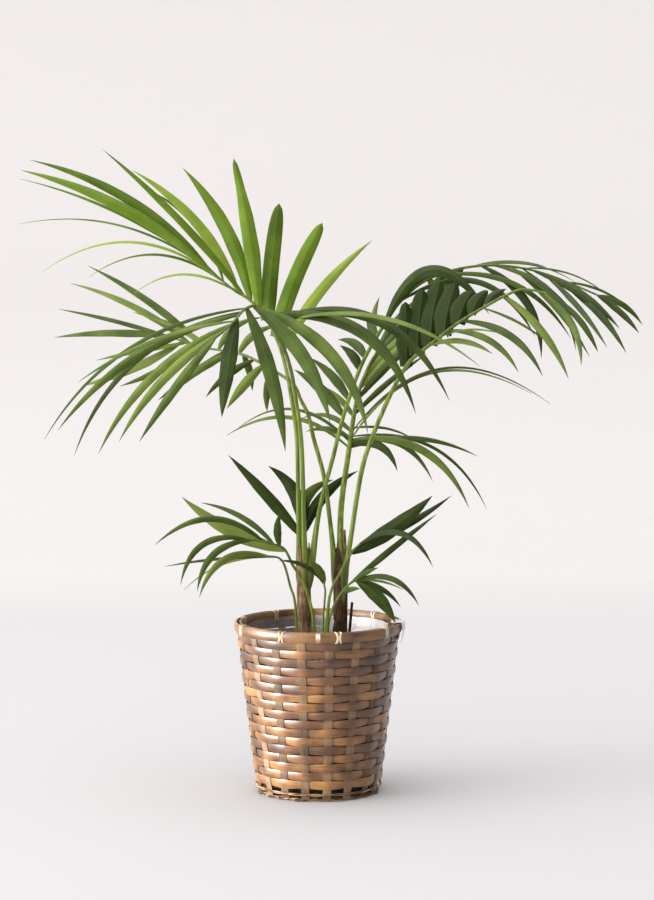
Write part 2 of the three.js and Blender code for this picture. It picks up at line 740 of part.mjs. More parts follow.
frond("lower_right_frond", {
  on: STEM_FOOT,
  route: [
    [14, -38, 0], [16, -42, 76], [22, -44, 108], [36, -48, 138], [56, -53, 162], [66, -57, 167],
  ],
  foot: 2.8,
  end: 1.6,
  leafy: 0.72,
  leaves: [
    leaf(0.3, 71, -72, 154, 3, 10, 30),
    leaf(0.7, 202, -48, 279, 2, 12, 35),
    leaf(0.85, 102, -78, 191, 3, 10, 30),
    leaf(0.9, 141, -22, 115, 12, 11, 35),
    leaf(0.95, 145, -58, 150, 8, 7, 60),
    leaf(1, 131, -72, 96, 8, 24, 20),
    leaf(1, 170, -112, 131, 26, 12, 40),
  ],
});

export default palm;
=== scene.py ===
# %% [markdown]
# # A potted palm in a woven basket
#
# This lesson builds a young kentia palm: two stems with long feather-shaped leaves, called fronds,
# in a nursery pot of soil. The pot stands with a clear film liner in a basket of woven bamboo.
#
# The model has a fixed frame, made beforehand as plain solids that give every piece its size and
# place. Each solid is either replaced by a detailed piece that fills the same space, or kept and
# given a finished material. Everything is in metres, with Z up, and -Y is the front.

# %% Load the frame
import math
import random

import bpy
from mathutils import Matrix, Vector, noise


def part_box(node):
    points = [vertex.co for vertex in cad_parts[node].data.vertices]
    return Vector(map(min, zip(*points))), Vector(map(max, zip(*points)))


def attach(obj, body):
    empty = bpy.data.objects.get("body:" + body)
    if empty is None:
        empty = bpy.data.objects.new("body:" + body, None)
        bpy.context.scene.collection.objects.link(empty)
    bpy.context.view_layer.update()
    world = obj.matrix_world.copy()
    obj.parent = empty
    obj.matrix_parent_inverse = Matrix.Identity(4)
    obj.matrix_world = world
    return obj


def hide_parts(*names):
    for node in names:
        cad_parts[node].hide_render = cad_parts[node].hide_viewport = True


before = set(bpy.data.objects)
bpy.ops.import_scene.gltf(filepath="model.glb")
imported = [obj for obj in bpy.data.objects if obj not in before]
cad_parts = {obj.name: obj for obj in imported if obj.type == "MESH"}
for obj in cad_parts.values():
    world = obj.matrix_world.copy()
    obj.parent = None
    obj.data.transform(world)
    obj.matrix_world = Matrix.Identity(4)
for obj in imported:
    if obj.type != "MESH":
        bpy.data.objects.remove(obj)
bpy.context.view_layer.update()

MM = 0.001
chance = random.Random(7)

# %% [markdown]
# ## The camera and the light
#
# The palm is seen from a little above its middle, from far away through a long lens, so that its
# lines stay almost parallel. The room is a pale sweep: a floor that curves up into a wall, with no
# line between the two. A large soft lamp stands to the left and draws a faint shadow to the right.
# A second, lower lamp lights only the basket and its film, so that the varnished strips get broad
# highlights while the floor and the leaves keep their light.

# %% Camera
CAMERA_PLACE = Vector((0.015, -5.5, 1.146))
CAMERA_AIM = Vector((0.015, 0.0, 0.59))

camera = bpy.data.objects.new("camera", bpy.data.cameras.new("camera"))
bpy.context.collection.objects.link(camera)
camera.location = CAMERA_PLACE
camera.rotation_euler = (CAMERA_AIM - CAMERA_PLACE).to_track_quat("-Z", "Y").to_euler()
camera.data.sensor_width = 36
camera.data.lens = 129.2
bpy.context.scene.camera = camera

# %% Adding a node, and colours
def linear(hex_color):
    """An sRGB hex colour, as the linear colour with alpha that Blender's nodes take."""
    shares = [int(hex_color[i : i + 2], 16) / 255 for i in (1, 3, 5)]
    return [s / 12.92 if s <= 0.04045 else ((s + 0.055) / 1.055) ** 2.4 for s in shares] + [1.0]


def add(tree, kind, inputs=None, stops=None, into=None, **settings):
    """Adds a node with its settings. An input is a value, a node (its first output) or one output
    of a node. The stops are a ramp's places and colours, and into is what the new node feeds."""
    node = tree.nodes.new(kind)
    for name, value in settings.items():
        setattr(node, name, value)
    for name, value in (inputs or {}).items():
        if isinstance(value, bpy.types.Node):
            value = value.outputs[0]
        if isinstance(value, bpy.types.NodeSocket):
            tree.links.new(value, node.inputs[name])
        else:
            node.inputs[name].default_value = value
    for i, (place, color) in enumerate(stops or []):
        points = node.color_ramp.elements
        point = points[i] if i < 2 else points.new(place)
        point.position = place
        point.color = linear(color)
    if into is not None:
        tree.links.new(node.outputs[0], into)
    return node


def start_material(name, **shader_values):
    """A new material with its shader's constant values. Returns it with its tree and shader."""
    material = bpy.data.materials.new(name)
    material.use_nodes = True
    tree = material.node_tree
    shader = tree.nodes["Principled BSDF"]
    for socket, value in shader_values.items():
        shader.inputs[socket.replace("_", " ")].default_value = value
    return material, tree, shader


# %% Room: a pale sweep, a soft sky and two lamps
SWEEP_RADIUS = 3.0
WALL_AWAY = 3.5
FLOOR_BEGINS = -20  # far in front, so that a view from behind sees floor all the way
SWEEP_LONG = 28.5
SWEEP_WIDE = 36

bpy.ops.object.select_all(action="DESELECT")
bpy.ops.mesh.primitive_grid_add(x_subdivisions=4, y_subdivisions=110, size=1)
sweep = bpy.context.object
sweep.name = "floor_sweep"
for vertex in sweep.data.vertices:
    along = (vertex.co.y + 0.5) * SWEEP_LONG + FLOOR_BEGINS
    turn = min(max((along - WALL_AWAY) / SWEEP_RADIUS, 0), math.pi / 2)
    rise = max(along - WALL_AWAY - SWEEP_RADIUS * math.pi / 2, 0)
    back = min(along, WALL_AWAY) + SWEEP_RADIUS * math.sin(turn)
    up = SWEEP_RADIUS * (1 - math.cos(turn)) + rise
    vertex.co = (vertex.co.x * SWEEP_WIDE, back, up)
bpy.ops.object.shade_smooth()
paper, tree, shader = start_material("matte_paper_sweep", Roughness=0.9, Specular_IOR_Level=0.0)
place = add(tree, "ShaderNodeTexCoord").outputs["Object"]
parts = add(tree, "ShaderNodeSeparateXYZ", {"Vector": place})
behind = add(
    tree, "ShaderNodeMapRange", {"Value": parts.outputs["Y"], "From Min": 1.9, "From Max": 6.4}
)
greys = [(0.0, "#c0bebf"), (0.16, "#c9c6c5"), (0.75, "#cfcbca"), (1.0, "#e0dcdb")]
add(tree, "ShaderNodeValToRGB", {"Fac": behind}, greys, into=shader.inputs["Base Color"])
sweep.data.materials.append(paper)

world = bpy.data.worlds.new("studio")
bpy.context.scene.world = world
world.use_nodes = True
tree = world.node_tree
sky = tree.nodes["Background"]
sky.inputs["Color"].default_value = linear("#ffffff")
direction = add(tree, "ShaderNodeTexCoord").outputs["Generated"]
sideways = add(tree, "ShaderNodeSeparateXYZ", {"Vector": direction})
bright_left = {
    "Value": sideways.outputs["X"], "From Min": -1.0, "From Max": 0.4, "To Min": 1.45, "To Max": 0.16
}
bright_above = {"Value": sideways.outputs["Z"], "From Min": 0.35, "To Min": 0.0, "To Max": 1.8}
walls = add(tree, "ShaderNodeMapRange", bright_left)
ceiling = add(tree, "ShaderNodeMapRange", bright_above)
add(tree, "ShaderNodeMath", {0: walls, 1: ceiling}, into=sky.inputs["Strength"], operation="ADD")
bpy.context.scene.view_settings.view_transform = "Standard"


def soft_lamp(name, place, aim, power, wide, tall):
    """A rectangular lamp at a place, turned to its aim. Its power is in watts."""
    light = bpy.data.objects.new(name, bpy.data.lights.new(name, "AREA"))
    bpy.context.collection.objects.link(light)
    light.location = place
    light.rotation_euler = (Vector(aim) - Vector(place)).to_track_quat("-Z", "Y").to_euler()
    light.data.shape = "RECTANGLE"
    light.data.size = wide
    light.data.size_y = tall
    light.data.energy = power
    return light


soft_lamp("window", (-4.6, -1.6, 1.4), (0, 0, 0.4), 155, 3.6, 2.4)
low_window = soft_lamp("low_window", (-3.0, -1.2, 0.55), (0, 0, 0.17), 290, 1.6, 1.0)
beside_window = bpy.data.collections.new("beside_window")  # the low window lights only what is in here
low_window.light_linking.receiver_collection = beside_window
print("room ready: camera", tuple(round(x, 3) for x in camera.location))

# %% [markdown]
# ## Strips: one flat template, laid many times
#
# Nearly everything here is a strip: the bamboo of the basket, the ties, the film and even the
# leaflets. A strip is modelled once, as a flat grid with a little thickness, and each copy has its
# vertices laid along the strip's own path by a short function. Its texture map is the grid's, so a
# pattern runs along the strip wherever it goes.

# %% Templates and how a copy is laid
def pick(piece):
    """Selects one piece and nothing else, and makes it the active one."""
    bpy.ops.object.select_all(action="DESELECT")
    piece.select_set(True)
    bpy.context.view_layer.objects.active = piece


def weld(piece, reach):
    """Merges a piece's vertices that lie closer together than reach, which closes its seams."""
    pick(piece)
    bpy.ops.object.mode_set(mode="EDIT")
    bpy.ops.mesh.select_all(action="SELECT")
    bpy.ops.mesh.remove_doubles(threshold=reach)
    bpy.ops.object.mode_set(mode="OBJECT")


def flat_strip(name, along, across, thickness, edge=0.0):
    """A strip from x = 0 to 1 and y = -0.5 to 0.5, as thick as the real one, its edges rounded."""
    bpy.ops.object.select_all(action="DESELECT")
    bpy.ops.mesh.primitive_grid_add(
        x_subdivisions=along, y_subdivisions=across, size=1, location=(0.5, 0, 0)
    )
    strip = bpy.context.object
    strip.name = name
    bpy.ops.object.transform_apply(location=True)
    if thickness:
        wall = strip.modifiers.new("thickness", "SOLIDIFY")
        wall.thickness = thickness
        wall.offset = 0
        bpy.ops.object.modifier_apply(modifier=wall.name)
    if edge:
        for vertex in strip.data.vertices:
            if abs(vertex.co.y) > 0.499:
                vertex.co.z *= edge
    return strip


def lay(template, name, where):
    """A copy of a template with its own mesh, each vertex moved to where(x, y, z)."""
    piece = template.copy()
    piece.data = template.data.copy()
    piece.name = name
    bpy.context.collection.objects.link(piece)
    for vertex in piece.data.vertices:
        vertex.co = where(*vertex.co)
    return piece


def set_attribute(piece, name, value):
    """Gives every vertex of a piece one number, which its material reads."""
    field = piece.data.attributes.new(name, "FLOAT", "POINT")
    field.data.foreach_set("value", [value] * len(piece.data.vertices))


def join(parts, name):
    """Joins finished parts into one piece."""
    bpy.ops.object.select_all(action="DESELECT")
    for part in parts:
        part.select_set(True)
    bpy.context.view_layer.objects.active = parts[0]
    if len(parts) > 1:
        bpy.ops.object.join()
    parts[0].name = name
    parts[0].data.name = name
    return parts[0]


def finish_piece(piece, material, nodes, smooth=40):
    """Gives a piece its material and smooth shading, attaches it to the root and hides the frame's solids
    that it stands for.
    """
    pick(piece)
    bpy.ops.object.mode_set(mode="EDIT")
    bpy.ops.mesh.select_all(action="SELECT")
    bpy.ops.mesh.normals_make_consistent(inside=False)
    bpy.ops.object.mode_set(mode="OBJECT")
    bpy.ops.object.shade_smooth_by_angle(angle=math.radians(smooth))
    piece.data.materials.clear()
    piece.data.materials.append(material)
    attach(piece, "root")
    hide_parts(*nodes)
    if piece.name.startswith(("basket", "rim", "foot", "film")):
        beside_window.objects.link(piece)
    print(piece.name, len(piece.data.polygons), "faces")


def drop(*templates):
    """Removes templates that are no longer needed."""
    for template in templates:
        bpy.data.objects.remove(template)


# %% [markdown]
# ## Bamboo, split and woven
#
# The basket is made of bamboo that was split into flat strips, smoked to a honey brown and
# varnished. The eye sees long fibres along each strip, a different brown from strip to strip and a
# soft gloss. The fibres are a noise drawn out along the strip's own texture map, and each strip
# carries a number that shifts its brown.

# %% Bamboo material
def bamboo(name, dark, middle, light, length, width, fibre, roughness, gloss):
    """A strip of bamboo of a real length and width, with fibres as wide as fibre, in metres."""
    material, tree, shader = start_material(
        name, IOR=1.5, Coat_Weight=gloss, Coat_Roughness=0.46, Coat_IOR=1.5, Specular_IOR_Level=0.3
    )
    own_map = add(tree, "ShaderNodeTexCoord").outputs["UV"]
    stretched = add(
        tree, "ShaderNodeMapping", {"Vector": own_map, "Scale": (length / 0.05, width / fibre, 1)}
    )
    fibres = add(
        tree, "ShaderNodeTexNoise",
        {"Vector": stretched, "Scale": 1.0, "Detail": 5.0, "Roughness": 0.65},
    )
    place = add(tree, "ShaderNodeTexCoord").outputs["Object"]
    patches = add(tree, "ShaderNodeTexNoise", {"Vector": place, "Scale": 24.0, "Detail": 3.0})
    shade = add(tree, "ShaderNodeAttribute", attribute_name="shade").outputs["Fac"]
    mixed = add(tree, "ShaderNodeMath", {0: fibres, 1: shade}, operation="ADD")
    spread = add(tree, "ShaderNodeMath", {0: patches, 1: 1.6, 2: mixed}, operation="MULTIPLY_ADD")
    scaled = add(tree, "ShaderNodeMath", {0: spread, 1: 3.6}, operation="DIVIDE")
    stops = [(0.36, dark), (0.62, light), (0.49, middle)]
    add(tree, "ShaderNodeValToRGB", {"Fac": scaled}, stops, into=shader.inputs["Base Color"])
    add(
        tree, "ShaderNodeMapRange",
        {"Value": fibres, "To Min": roughness - 0.08, "To Max": roughness + 0.12},
        into=shader.inputs["Roughness"],
    )
    add(
        tree, "ShaderNodeBump", {"Height": fibres, "Strength": 0.35, "Distance": 0.0006},
        into=shader.inputs["Normal"],
    )
    return material


# %% [markdown]
# ## The basket's wall
#
# Eighteen flat stakes stand round the basket. Horizontal strips, the weavers, go over one stake and
# under the next, and each row does the opposite of the row below it. A weaver's path is a circle
# whose radius swings in and out once every two stakes, so a cosine of nine times the angle gives
# it. The stakes are stiffer and swing only a little.

# %% Sizes of the basket, from the frame
wall_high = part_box("basket_wall")[1]
base_low, base_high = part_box("basket_base")
hoop_low, hoop_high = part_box("rim_hoop_outer")
inner_low, inner_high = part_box("rim_hoop_inner")
rod_low_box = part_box("foot_rod_lower")
rod_high_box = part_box("foot_rod_upper")

STAKES = 18
ROWS = 17
STAKE_ONE = math.radians(8)  # the angle of one stake from the front, towards +X
STRIP_HEIGHT = 14.2 * MM
STAKE_WIDTH = 14.5 * MM
SWING = 1.7 * MM  # how far a weaver swings in and out
WALL_MIDDLE = 2 * MM  # from the wall's outside to the middle of its thickness
STRIP_CROWN = 0.9 * MM  # how far the middle of a weaver's outer side stands out
LAP_ANGLE = math.radians(26)  # how far a weaver's ends overlap
LAP_DEPTH = 1.0 * MM
FOOT_BAND = 24 * MM
FOOT_TUCK = 6 * MM
top_radius = wall_high.x
foot_radius = base_high.x + FOOT_TUCK
shoulder = hoop_low.z
row_step = (shoulder - FOOT_BAND + 4 * MM) / ROWS
print("rows are", round(row_step / MM, 1), "mm apart")


def around(angle, radius, height):
    """The point at an angle round the basket, from the front towards +X."""
    return Vector((radius * math.sin(angle), -radius * math.cos(angle), height))


def wall_radius(height):
    """The outside radius of the weave at a height: tucked in at the foot, flared, then upright."""
    if height < FOOT_BAND:
        share = max(height, 0) / FOOT_BAND
        return foot_radius - FOOT_TUCK * (1 - share) ** 1.8
    share = min((height - FOOT_BAND) / (shoulder - FOOT_BAND), 1)
    return foot_radius + share * (top_radius - foot_radius)


def row_height(row):
    """The middle of a row, counted from the rim down."""
    return shoulder - (row + 0.42) * row_step


# %% Weavers
def weaver(row, template):
    """One row of the weave. Its ends overlap behind a stake, a little further in each time."""
    begin = math.radians(chance.uniform(0, 360))
    side = 1 if row % 2 == 0 else -1
    wander = chance.uniform(0, 100)
    height = STRIP_HEIGHT * chance.uniform(0.94, 1.03)

    def where(x, y, z):
        angle = begin + x * (2 * math.pi + LAP_ANGLE)
        swing = side * math.cos(STAKES / 2 * (angle - STAKE_ONE))
        bulge = SWING * (swing + 0.12 * math.cos(STAKES * (angle - STAKE_ONE)))
        behind = LAP_DEPTH * max(0, (angle - begin - 2 * math.pi) / LAP_ANGLE)
        sway = 0.9 * MM * noise.noise((3 * math.sin(angle), 3 * math.cos(angle), wander))
        wide = height * (1 + 0.08 * swing)
        level = row_height(row) + sway + y * wide
        crown = STRIP_CROWN * (1 - 4 * y * y)
        return around(angle, wall_radius(level) - WALL_MIDDLE + bulge + crown - behind + z, level)

    strip = lay(template, f"weaver_{row + 1}", where)
    set_attribute(strip, "shade", chance.uniform(0.3, 0.75))
    return strip


strip_template = flat_strip("weaver_template", 288, 6, 0.9 * MM, 0.45)
weavers = [weaver(row, strip_template) for row in range(ROWS)]
drop(strip_template)
weave_bamboo = bamboo(
    "smoked_split_bamboo", "#2b180b", "#603c1c", "#986a34", 0.85, STRIP_HEIGHT, 1.6 * MM, 0.36, 1.0
)
weave = join(weavers, "basket_weavers")
finish_piece(weave, weave_bamboo, ["basket_wall"])

# %% Stakes
stake_top = wall_high.z


def stake(number, template):
    """One upright: it leans with the wall, turns in under the basket, and gives way to each row."""
    angle = STAKE_ONE + number * 2 * math.pi / STAKES
    side = 1 if number % 2 == 0 else -1
    foot = base_high.z - 2 * MM

    def where(x, y, z):
        level = foot + x * (stake_top - foot)
        row = (shoulder - level) / row_step - 0.42
        swing = -side * math.cos(math.pi * row) * 0.45 * SWING
        if level > shoulder:
            swing = 0
        radius = wall_radius(level) - WALL_MIDDLE + swing + z
        return around(angle + y * STAKE_WIDTH / wall_radius(level), radius, level)

    upright = lay(template, f"stake_{number + 1}", where)
    set_attribute(upright, "shade", chance.uniform(0.3, 0.9))
    return upright


stake_template = flat_strip("stake_template", 140, 3, 1.1 * MM, 0.5)
stakes = [stake(number, stake_template) for number in range(STAKES)]
drop(stake_template)
stake_bamboo = bamboo(
    "raw_split_bamboo", "#36261a", "#654e39", "#91775c", 0.29, STAKE_WIDTH, 1.3 * MM, 0.52, 0.08
)
finish_piece(join(stakes, "basket_stakes"), stake_bamboo, ["basket_wall"])

# %% [markdown]
# ## The basket's base
#
# The base is a flat mat of strips that cross each other, trimmed to a disc. It shows only when the
# basket is turned over. Each strip is laid over and under the strips that it crosses, and is as
# long as the disc is wide at its place.

# %% Base
MAT_STRIPS = 12
MAT_SWING = 1.1 * MM
base_radius = base_high.x
mat_step = 2 * base_radius / MAT_STRIPS
mat_middle = (base_low.z + base_high.z) / 2


def mat_strip(number, turned, template):
    """One strip of the mat, over and under those that cross it."""
    offset = (number + 0.5) * mat_step - base_radius
    half = math.sqrt(base_radius**2 - offset**2) - 1 * MM

    def where(x, y, z):
        along = (2 * x - 1) * half
        phase = math.pi * (along / mat_step + number + (0.5 if turned else -0.5))
        level = mat_middle + MAT_SWING * math.sin(phase) + z
        across = offset + y * mat_step * 0.9
        return Vector((across, along, level)) if turned else Vector((along, across, level))

    strip = lay(template, f"mat_{number}_{turned}", where)
    set_attribute(strip, "shade", chance.uniform(0.2, 0.9))
    return strip


mat_template = flat_strip("mat_template", 72, 2, 1.2 * MM)
mat = [mat_strip(n, turned, mat_template) for n in range(MAT_STRIPS) for turned in (False, True)]
drop(mat_template)
finish_piece(join(mat, "basket_base_mat"), stake_bamboo, ["basket_base"])

# %% [markdown]
# ## Rods round the foot
#
# Under the last row the stakes are bare, and two pairs of thin canes are twined round them: one
# cane of each pair passes in front of a stake while the other passes behind. Each cane is a round
# tube on a circle that swings in and out, and its partner swings the other way.

# %% Twined canes
CANE_RADIUS = 1.1 * MM
CANES_IN = 6.5 * MM  # from the outside of the frame's rod to the middle of the pair
CANE_SWING = 1.3 * MM
CANE_STEPS = 216


def tube(name, points, radii, sides=3):
    """A round tube through points, with its own radius at each, made from a bevelled curve."""
    path = bpy.data.curves.new(name, "CURVE")
    path.dimensions = "3D"
    path.bevel_depth = 1.0
    path.bevel_resolution = sides
    path.use_fill_caps = True
    line = path.splines.new("POLY")
    line.points.add(len(points) - 1)
    for spot, place, radius in zip(line.points, points, radii):
        spot.co = (*place, 1)
        spot.radius = radius
    made = bpy.data.objects.new(name, path)
    bpy.context.collection.objects.link(made)
    pick(made)
    bpy.ops.object.convert(target="MESH")
    return bpy.context.object


def twined_pair(name, radius, level):
    """Two canes that swing in and out and up and down against each other, once every two stakes."""
    parts = []
    for side in (1, -1):
        points = []
        for step in range(CANE_STEPS + 1):
            angle = step / CANE_STEPS * 2 * math.pi
            swing = side * math.cos(STAKES / 2 * (angle - STAKE_ONE))
            climb = side * CANE_SWING * math.sin(STAKES / 2 * (angle - STAKE_ONE))
            points.append(around(angle, radius + CANE_SWING * swing, level + climb))
        parts.append(tube(f"{name}_{side}", points, [CANE_RADIUS] * len(points)))
        set_attribute(parts[-1], "shade", 0.5 + 0.2 * side)
    return join(parts, name)


def cane(name, dark, middle, light):
    """Thin round cane: fine fibres and brown patches, on the piece's place in space."""
    material, tree, shader = start_material(
        name, IOR=1.5, Roughness=0.4, Coat_Weight=0.2, Coat_Roughness=0.3
    )
    place = add(tree, "ShaderNodeTexCoord").outputs["Object"]
    patches = add(tree, "ShaderNodeTexNoise", {"Vector": place, "Scale": 45.0, "Detail": 4.0})
    stops = [(0.3, dark), (0.7, light), (0.5, middle)]
    add(tree, "ShaderNodeValToRGB", {"Fac": patches}, stops, into=shader.inputs["Base Color"])
    grain = add(tree, "ShaderNodeTexNoise", {"Vector": place, "Scale": 700.0, "Detail": 2.0})
    add(
        tree, "ShaderNodeBump", {"Height": grain, "Strength": 0.3, "Distance": 0.0003},
        into=shader.inputs["Normal"],
    )
    return material


brown_cane = cane("varnished_cane", "#38210f", "#7a5530", "#c09a6c")
for name, (low, high) in (("foot_rod_lower", rod_low_box), ("foot_rod_upper", rod_high_box)):
    pair = twined_pair(f"{name}_canes", high.x - CANES_IN, (low.z + high.z) / 2)
    finish_piece(pair, brown_cane, [name])

# %% [markdown]
# ## Rim hoops and their ties
#
# Two hoops of thicker split bamboo hold the weave between them at the rim. A hoop is flat inside
# and rounded outside, with a ring-shaped joint of the cane every so often. Here it is a whole ring.
# Pale cane is wound round both hoops nine times, each time in two loops that lean apart.

# %% Hoops
HOOP_JOINTS = 4
HOOP_THICKNESS = 4 * MM
JOINT_WIDTH = 0.018  # along the hoop, in radians
JOINT_HEIGHT = 0.35 * MM


def hoop(name, low, high, outwards, first_joint):
    """A hoop from a strip: its section bulges on the side that shows."""
    ring = high.x - HOOP_THICKNESS / 2
    tall = high.z - low.z
    middle = (low.z + high.z) / 2

    def where(x, y, z):
        angle = x * 2 * math.pi
        apart = 2 * math.pi / HOOP_JOINTS
        near = (angle - first_joint + apart / 2) % apart - apart / 2
        joint = JOINT_HEIGHT * math.exp(-((near / JOINT_WIDTH) ** 2))
        round_off = 1.25 - 1.1 * abs(2 * y) ** 2.4
        push = z * (round_off if z * outwards > 0 else 1) + outwards * joint * 0.5
        return around(angle, ring + push, middle + y * tall)

    template = flat_strip("hoop_template", 180, 8, HOOP_THICKNESS)
    made = lay(template, name, where)
    drop(template)
    set_attribute(made, "shade", 0.75)
    weld(made, 0.02 * MM)
    return made


hoop_bamboo = bamboo(
    "thick_split_bamboo", "#1c0f07", "#432710", "#795126", 0.9, hoop_high.z - hoop_low.z, 2.2 * MM,
    0.34, 1.0,
)
inner_bamboo = bamboo(
    "inner_split_bamboo", "#2b190c", "#5c3f26", "#946f49", 0.8, hoop_high.z - hoop_low.z, 2.2 * MM,
    0.42, 0.15,
)
outer_hoop = hoop("rim_outer", hoop_low, hoop_high, 1, 0.35)
finish_piece(outer_hoop, hoop_bamboo, ["rim_hoop_outer"])
inner_hoop = hoop("rim_inner", inner_low, inner_high, -1, 1.1)
finish_piece(inner_hoop, inner_bamboo, ["rim_hoop_inner"])

# %% Ties
TIE_STRAND = 3.2 * MM
tie_half = (hoop_high.x - (inner_high.x - HOOP_THICKNESS)) / 2 + 0.5 * MM
tie_centre = (hoop_high.x + inner_high.x - HOOP_THICKNESS) / 2
tie_level = (hoop_low.z + hoop_high.z) / 2
tie_tall = (hoop_high.z - hoop_low.z) / 2 + 0.7 * MM


def tie(node, template):
    """Two loops round the hoops, each bowed away from the other at its ends."""
    low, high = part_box(node)
    middle = (low + high) / 2
    angle = math.atan2(middle.x, -middle.y)
    loops = []
    for side in (-1, 1):
        def where(x, y, z):
            turn = x * 2 * math.pi
            corner = (abs(math.cos(turn)) ** 5 + abs(math.sin(turn)) ** 5) ** (-1 / 5)
            out = math.cos(turn) * corner
            up = math.sin(turn) * corner
            grown = 1 + z / (10 * MM)
            aside = side * (2.0 * MM + 2.2 * MM * up * up) + y * TIE_STRAND
            radius = tie_centre + tie_half * out * grown
            return around(angle + aside / radius, radius, tie_level + tie_tall * up * grown)

        loops.append(lay(template, f"{node}_loop_{side}", where))
        set_attribute(loops[-1], "shade", chance.uniform(0.4, 0.9))
    return join(loops, f"{node}_loops")


pale_cane = bamboo(
    "stripped_pale_cane", "#7d6444", "#b9a27c", "#dccdb2", 0.06, TIE_STRAND, 0.8 * MM, 0.5, 0.1
)
tie_template = flat_strip("tie_template", 36, 2, 0.9 * MM, 0.5)
for number in range(1, 10):
    node = f"rim_tie_{number}"
    finish_piece(tie(node, tie_template), pale_cane, [node])
drop(tie_template)

# %% [markdown]
# ## Turned pieces: the nursery pot and the soil
#
# A nursery pot is blown or moulded round, so it is turned: an outline is drawn by extruding one
# point from corner to corner, and spun about the basket's axis. Its four drain holes are cut with a
# Boolean. The soil is turned in the same way, its top is roughened, and crumbs of bark lie on it.

# %% Spinning an outline
def spun(name, outline, steps):
    """Extrudes a point along an outline of (radius, height) corners and spins it about Z."""
    bpy.ops.object.select_all(action="DESELECT")
    bpy.ops.mesh.primitive_plane_add(size=0.001)
    made = bpy.context.object
    made.name = name
    bpy.ops.object.mode_set(mode="EDIT")
    bpy.ops.mesh.select_all(action="SELECT")
    bpy.ops.mesh.merge(type="CENTER")
    bpy.ops.transform.translate(value=(outline[0][0], 0, outline[0][1]))
    for (r0, z0), (r1, z1) in zip(outline, outline[1:]):
        bpy.ops.mesh.extrude_region_move(TRANSFORM_OT_translate={"value": (r1 - r0, 0, z1 - z0)})
    bpy.ops.mesh.select_all(action="SELECT")
    bpy.ops.mesh.spin(steps=steps, angle=2 * math.pi, center=(0, 0, 0), axis=(0, 0, 1))
    bpy.ops.mesh.select_all(action="SELECT")
    bpy.ops.mesh.remove_doubles(threshold=0.00002)
    bpy.ops.mesh.normals_make_consistent(inside=False)
    bpy.ops.object.mode_set(mode="OBJECT")
    return made


def grained(name, dark, light, patch, grain, depth, **shader_values):
    """A matte material with patches and a fine grain of real sizes, in metres."""
    material, tree, shader = start_material(name, **shader_values)
    place = add(tree, "ShaderNodeTexCoord").outputs["Object"]
    patches = add(tree, "ShaderNodeTexNoise", {"Vector": place, "Scale": 1 / patch, "Detail": 5.0})
    add(
        tree, "ShaderNodeValToRGB", {"Fac": patches}, [(0.35, dark), (0.65, light)],
        into=shader.inputs["Base Color"],
    )
    fine = add(tree, "ShaderNodeTexNoise", {"Vector": place, "Scale": 1 / grain, "Detail": 3.0})
    add(
        tree, "ShaderNodeBump", {"Height": fine, "Strength": 0.5, "Distance": depth},
        into=shader.inputs["Normal"],
    )
    return material


# %% Nursery pot
pot_low, pot_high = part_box("nursery_pot")
POT_WALL = 2 * MM
POT_LIP = 3 * MM
pot_top = pot_high.x
pot_foot = 88.4 * MM
floor_top = pot_low.z + 3 * MM
pot_outline = [
    (0, pot_low.z),
    (pot_foot - 4 * MM, pot_low.z),
    (pot_foot, pot_low.z + 4 * MM),
    (pot_top - POT_LIP, pot_high.z - 12 * MM),
    (pot_top - 0.5 * MM, pot_high.z - 11.5 * MM),
    (pot_top, pot_high.z - 10 * MM),
    (pot_top, pot_high.z - 1.5 * MM),
    (pot_top - 1.5 * MM, pot_high.z),
    (pot_top - POT_LIP - POT_WALL, pot_high.z),
    (pot_foot - POT_WALL, floor_top),
    (0, floor_top),
]
pot = spun("nursery_pot_shell", pot_outline, 96)
for quarter in range(4):
    hole = around(quarter * math.pi / 2, pot_foot * 0.6, floor_top)
    bpy.ops.object.select_all(action="DESELECT")
    bpy.ops.mesh.primitive_cylinder_add(vertices=24, radius=7 * MM, depth=20 * MM, location=hole)
    drill = bpy.context.object
    bpy.context.view_layer.objects.active = pot
    cut = pot.modifiers.new("drain", "BOOLEAN")
    cut.object = drill
    cut.operation = "DIFFERENCE"
    bpy.ops.object.modifier_apply(modifier=cut.name)
    drop(drill)
moulded = grained(
    "black_moulded_polypropylene", "#141414", "#232323", 0.03, 0.0006, 0.0001, Roughness=0.45, IOR=1.49
)
finish_piece(pot, moulded, ["nursery_pot"], 30)

# %% Soil and its crumbs
soil_low, soil_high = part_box("soil")
CRUMBS = 420
SOIL_FOOT = pot_foot - POT_WALL - 1 * MM
soil_rings = [(soil_high.x * share, soil_high.z) for share in [i / 14 for i in range(15)]]
soil = spun("soil_body", soil_rings + [(SOIL_FOOT, soil_low.z), (0, soil_low.z)], 72)
for vertex in soil.data.vertices:
    if vertex.co.z > soil_high.z - 1 * MM and vertex.co.xy.length < soil_high.x - 2 * MM:
        vertex.co.z += 3.0 * MM * noise.noise(vertex.co * 60) - 1.0 * MM

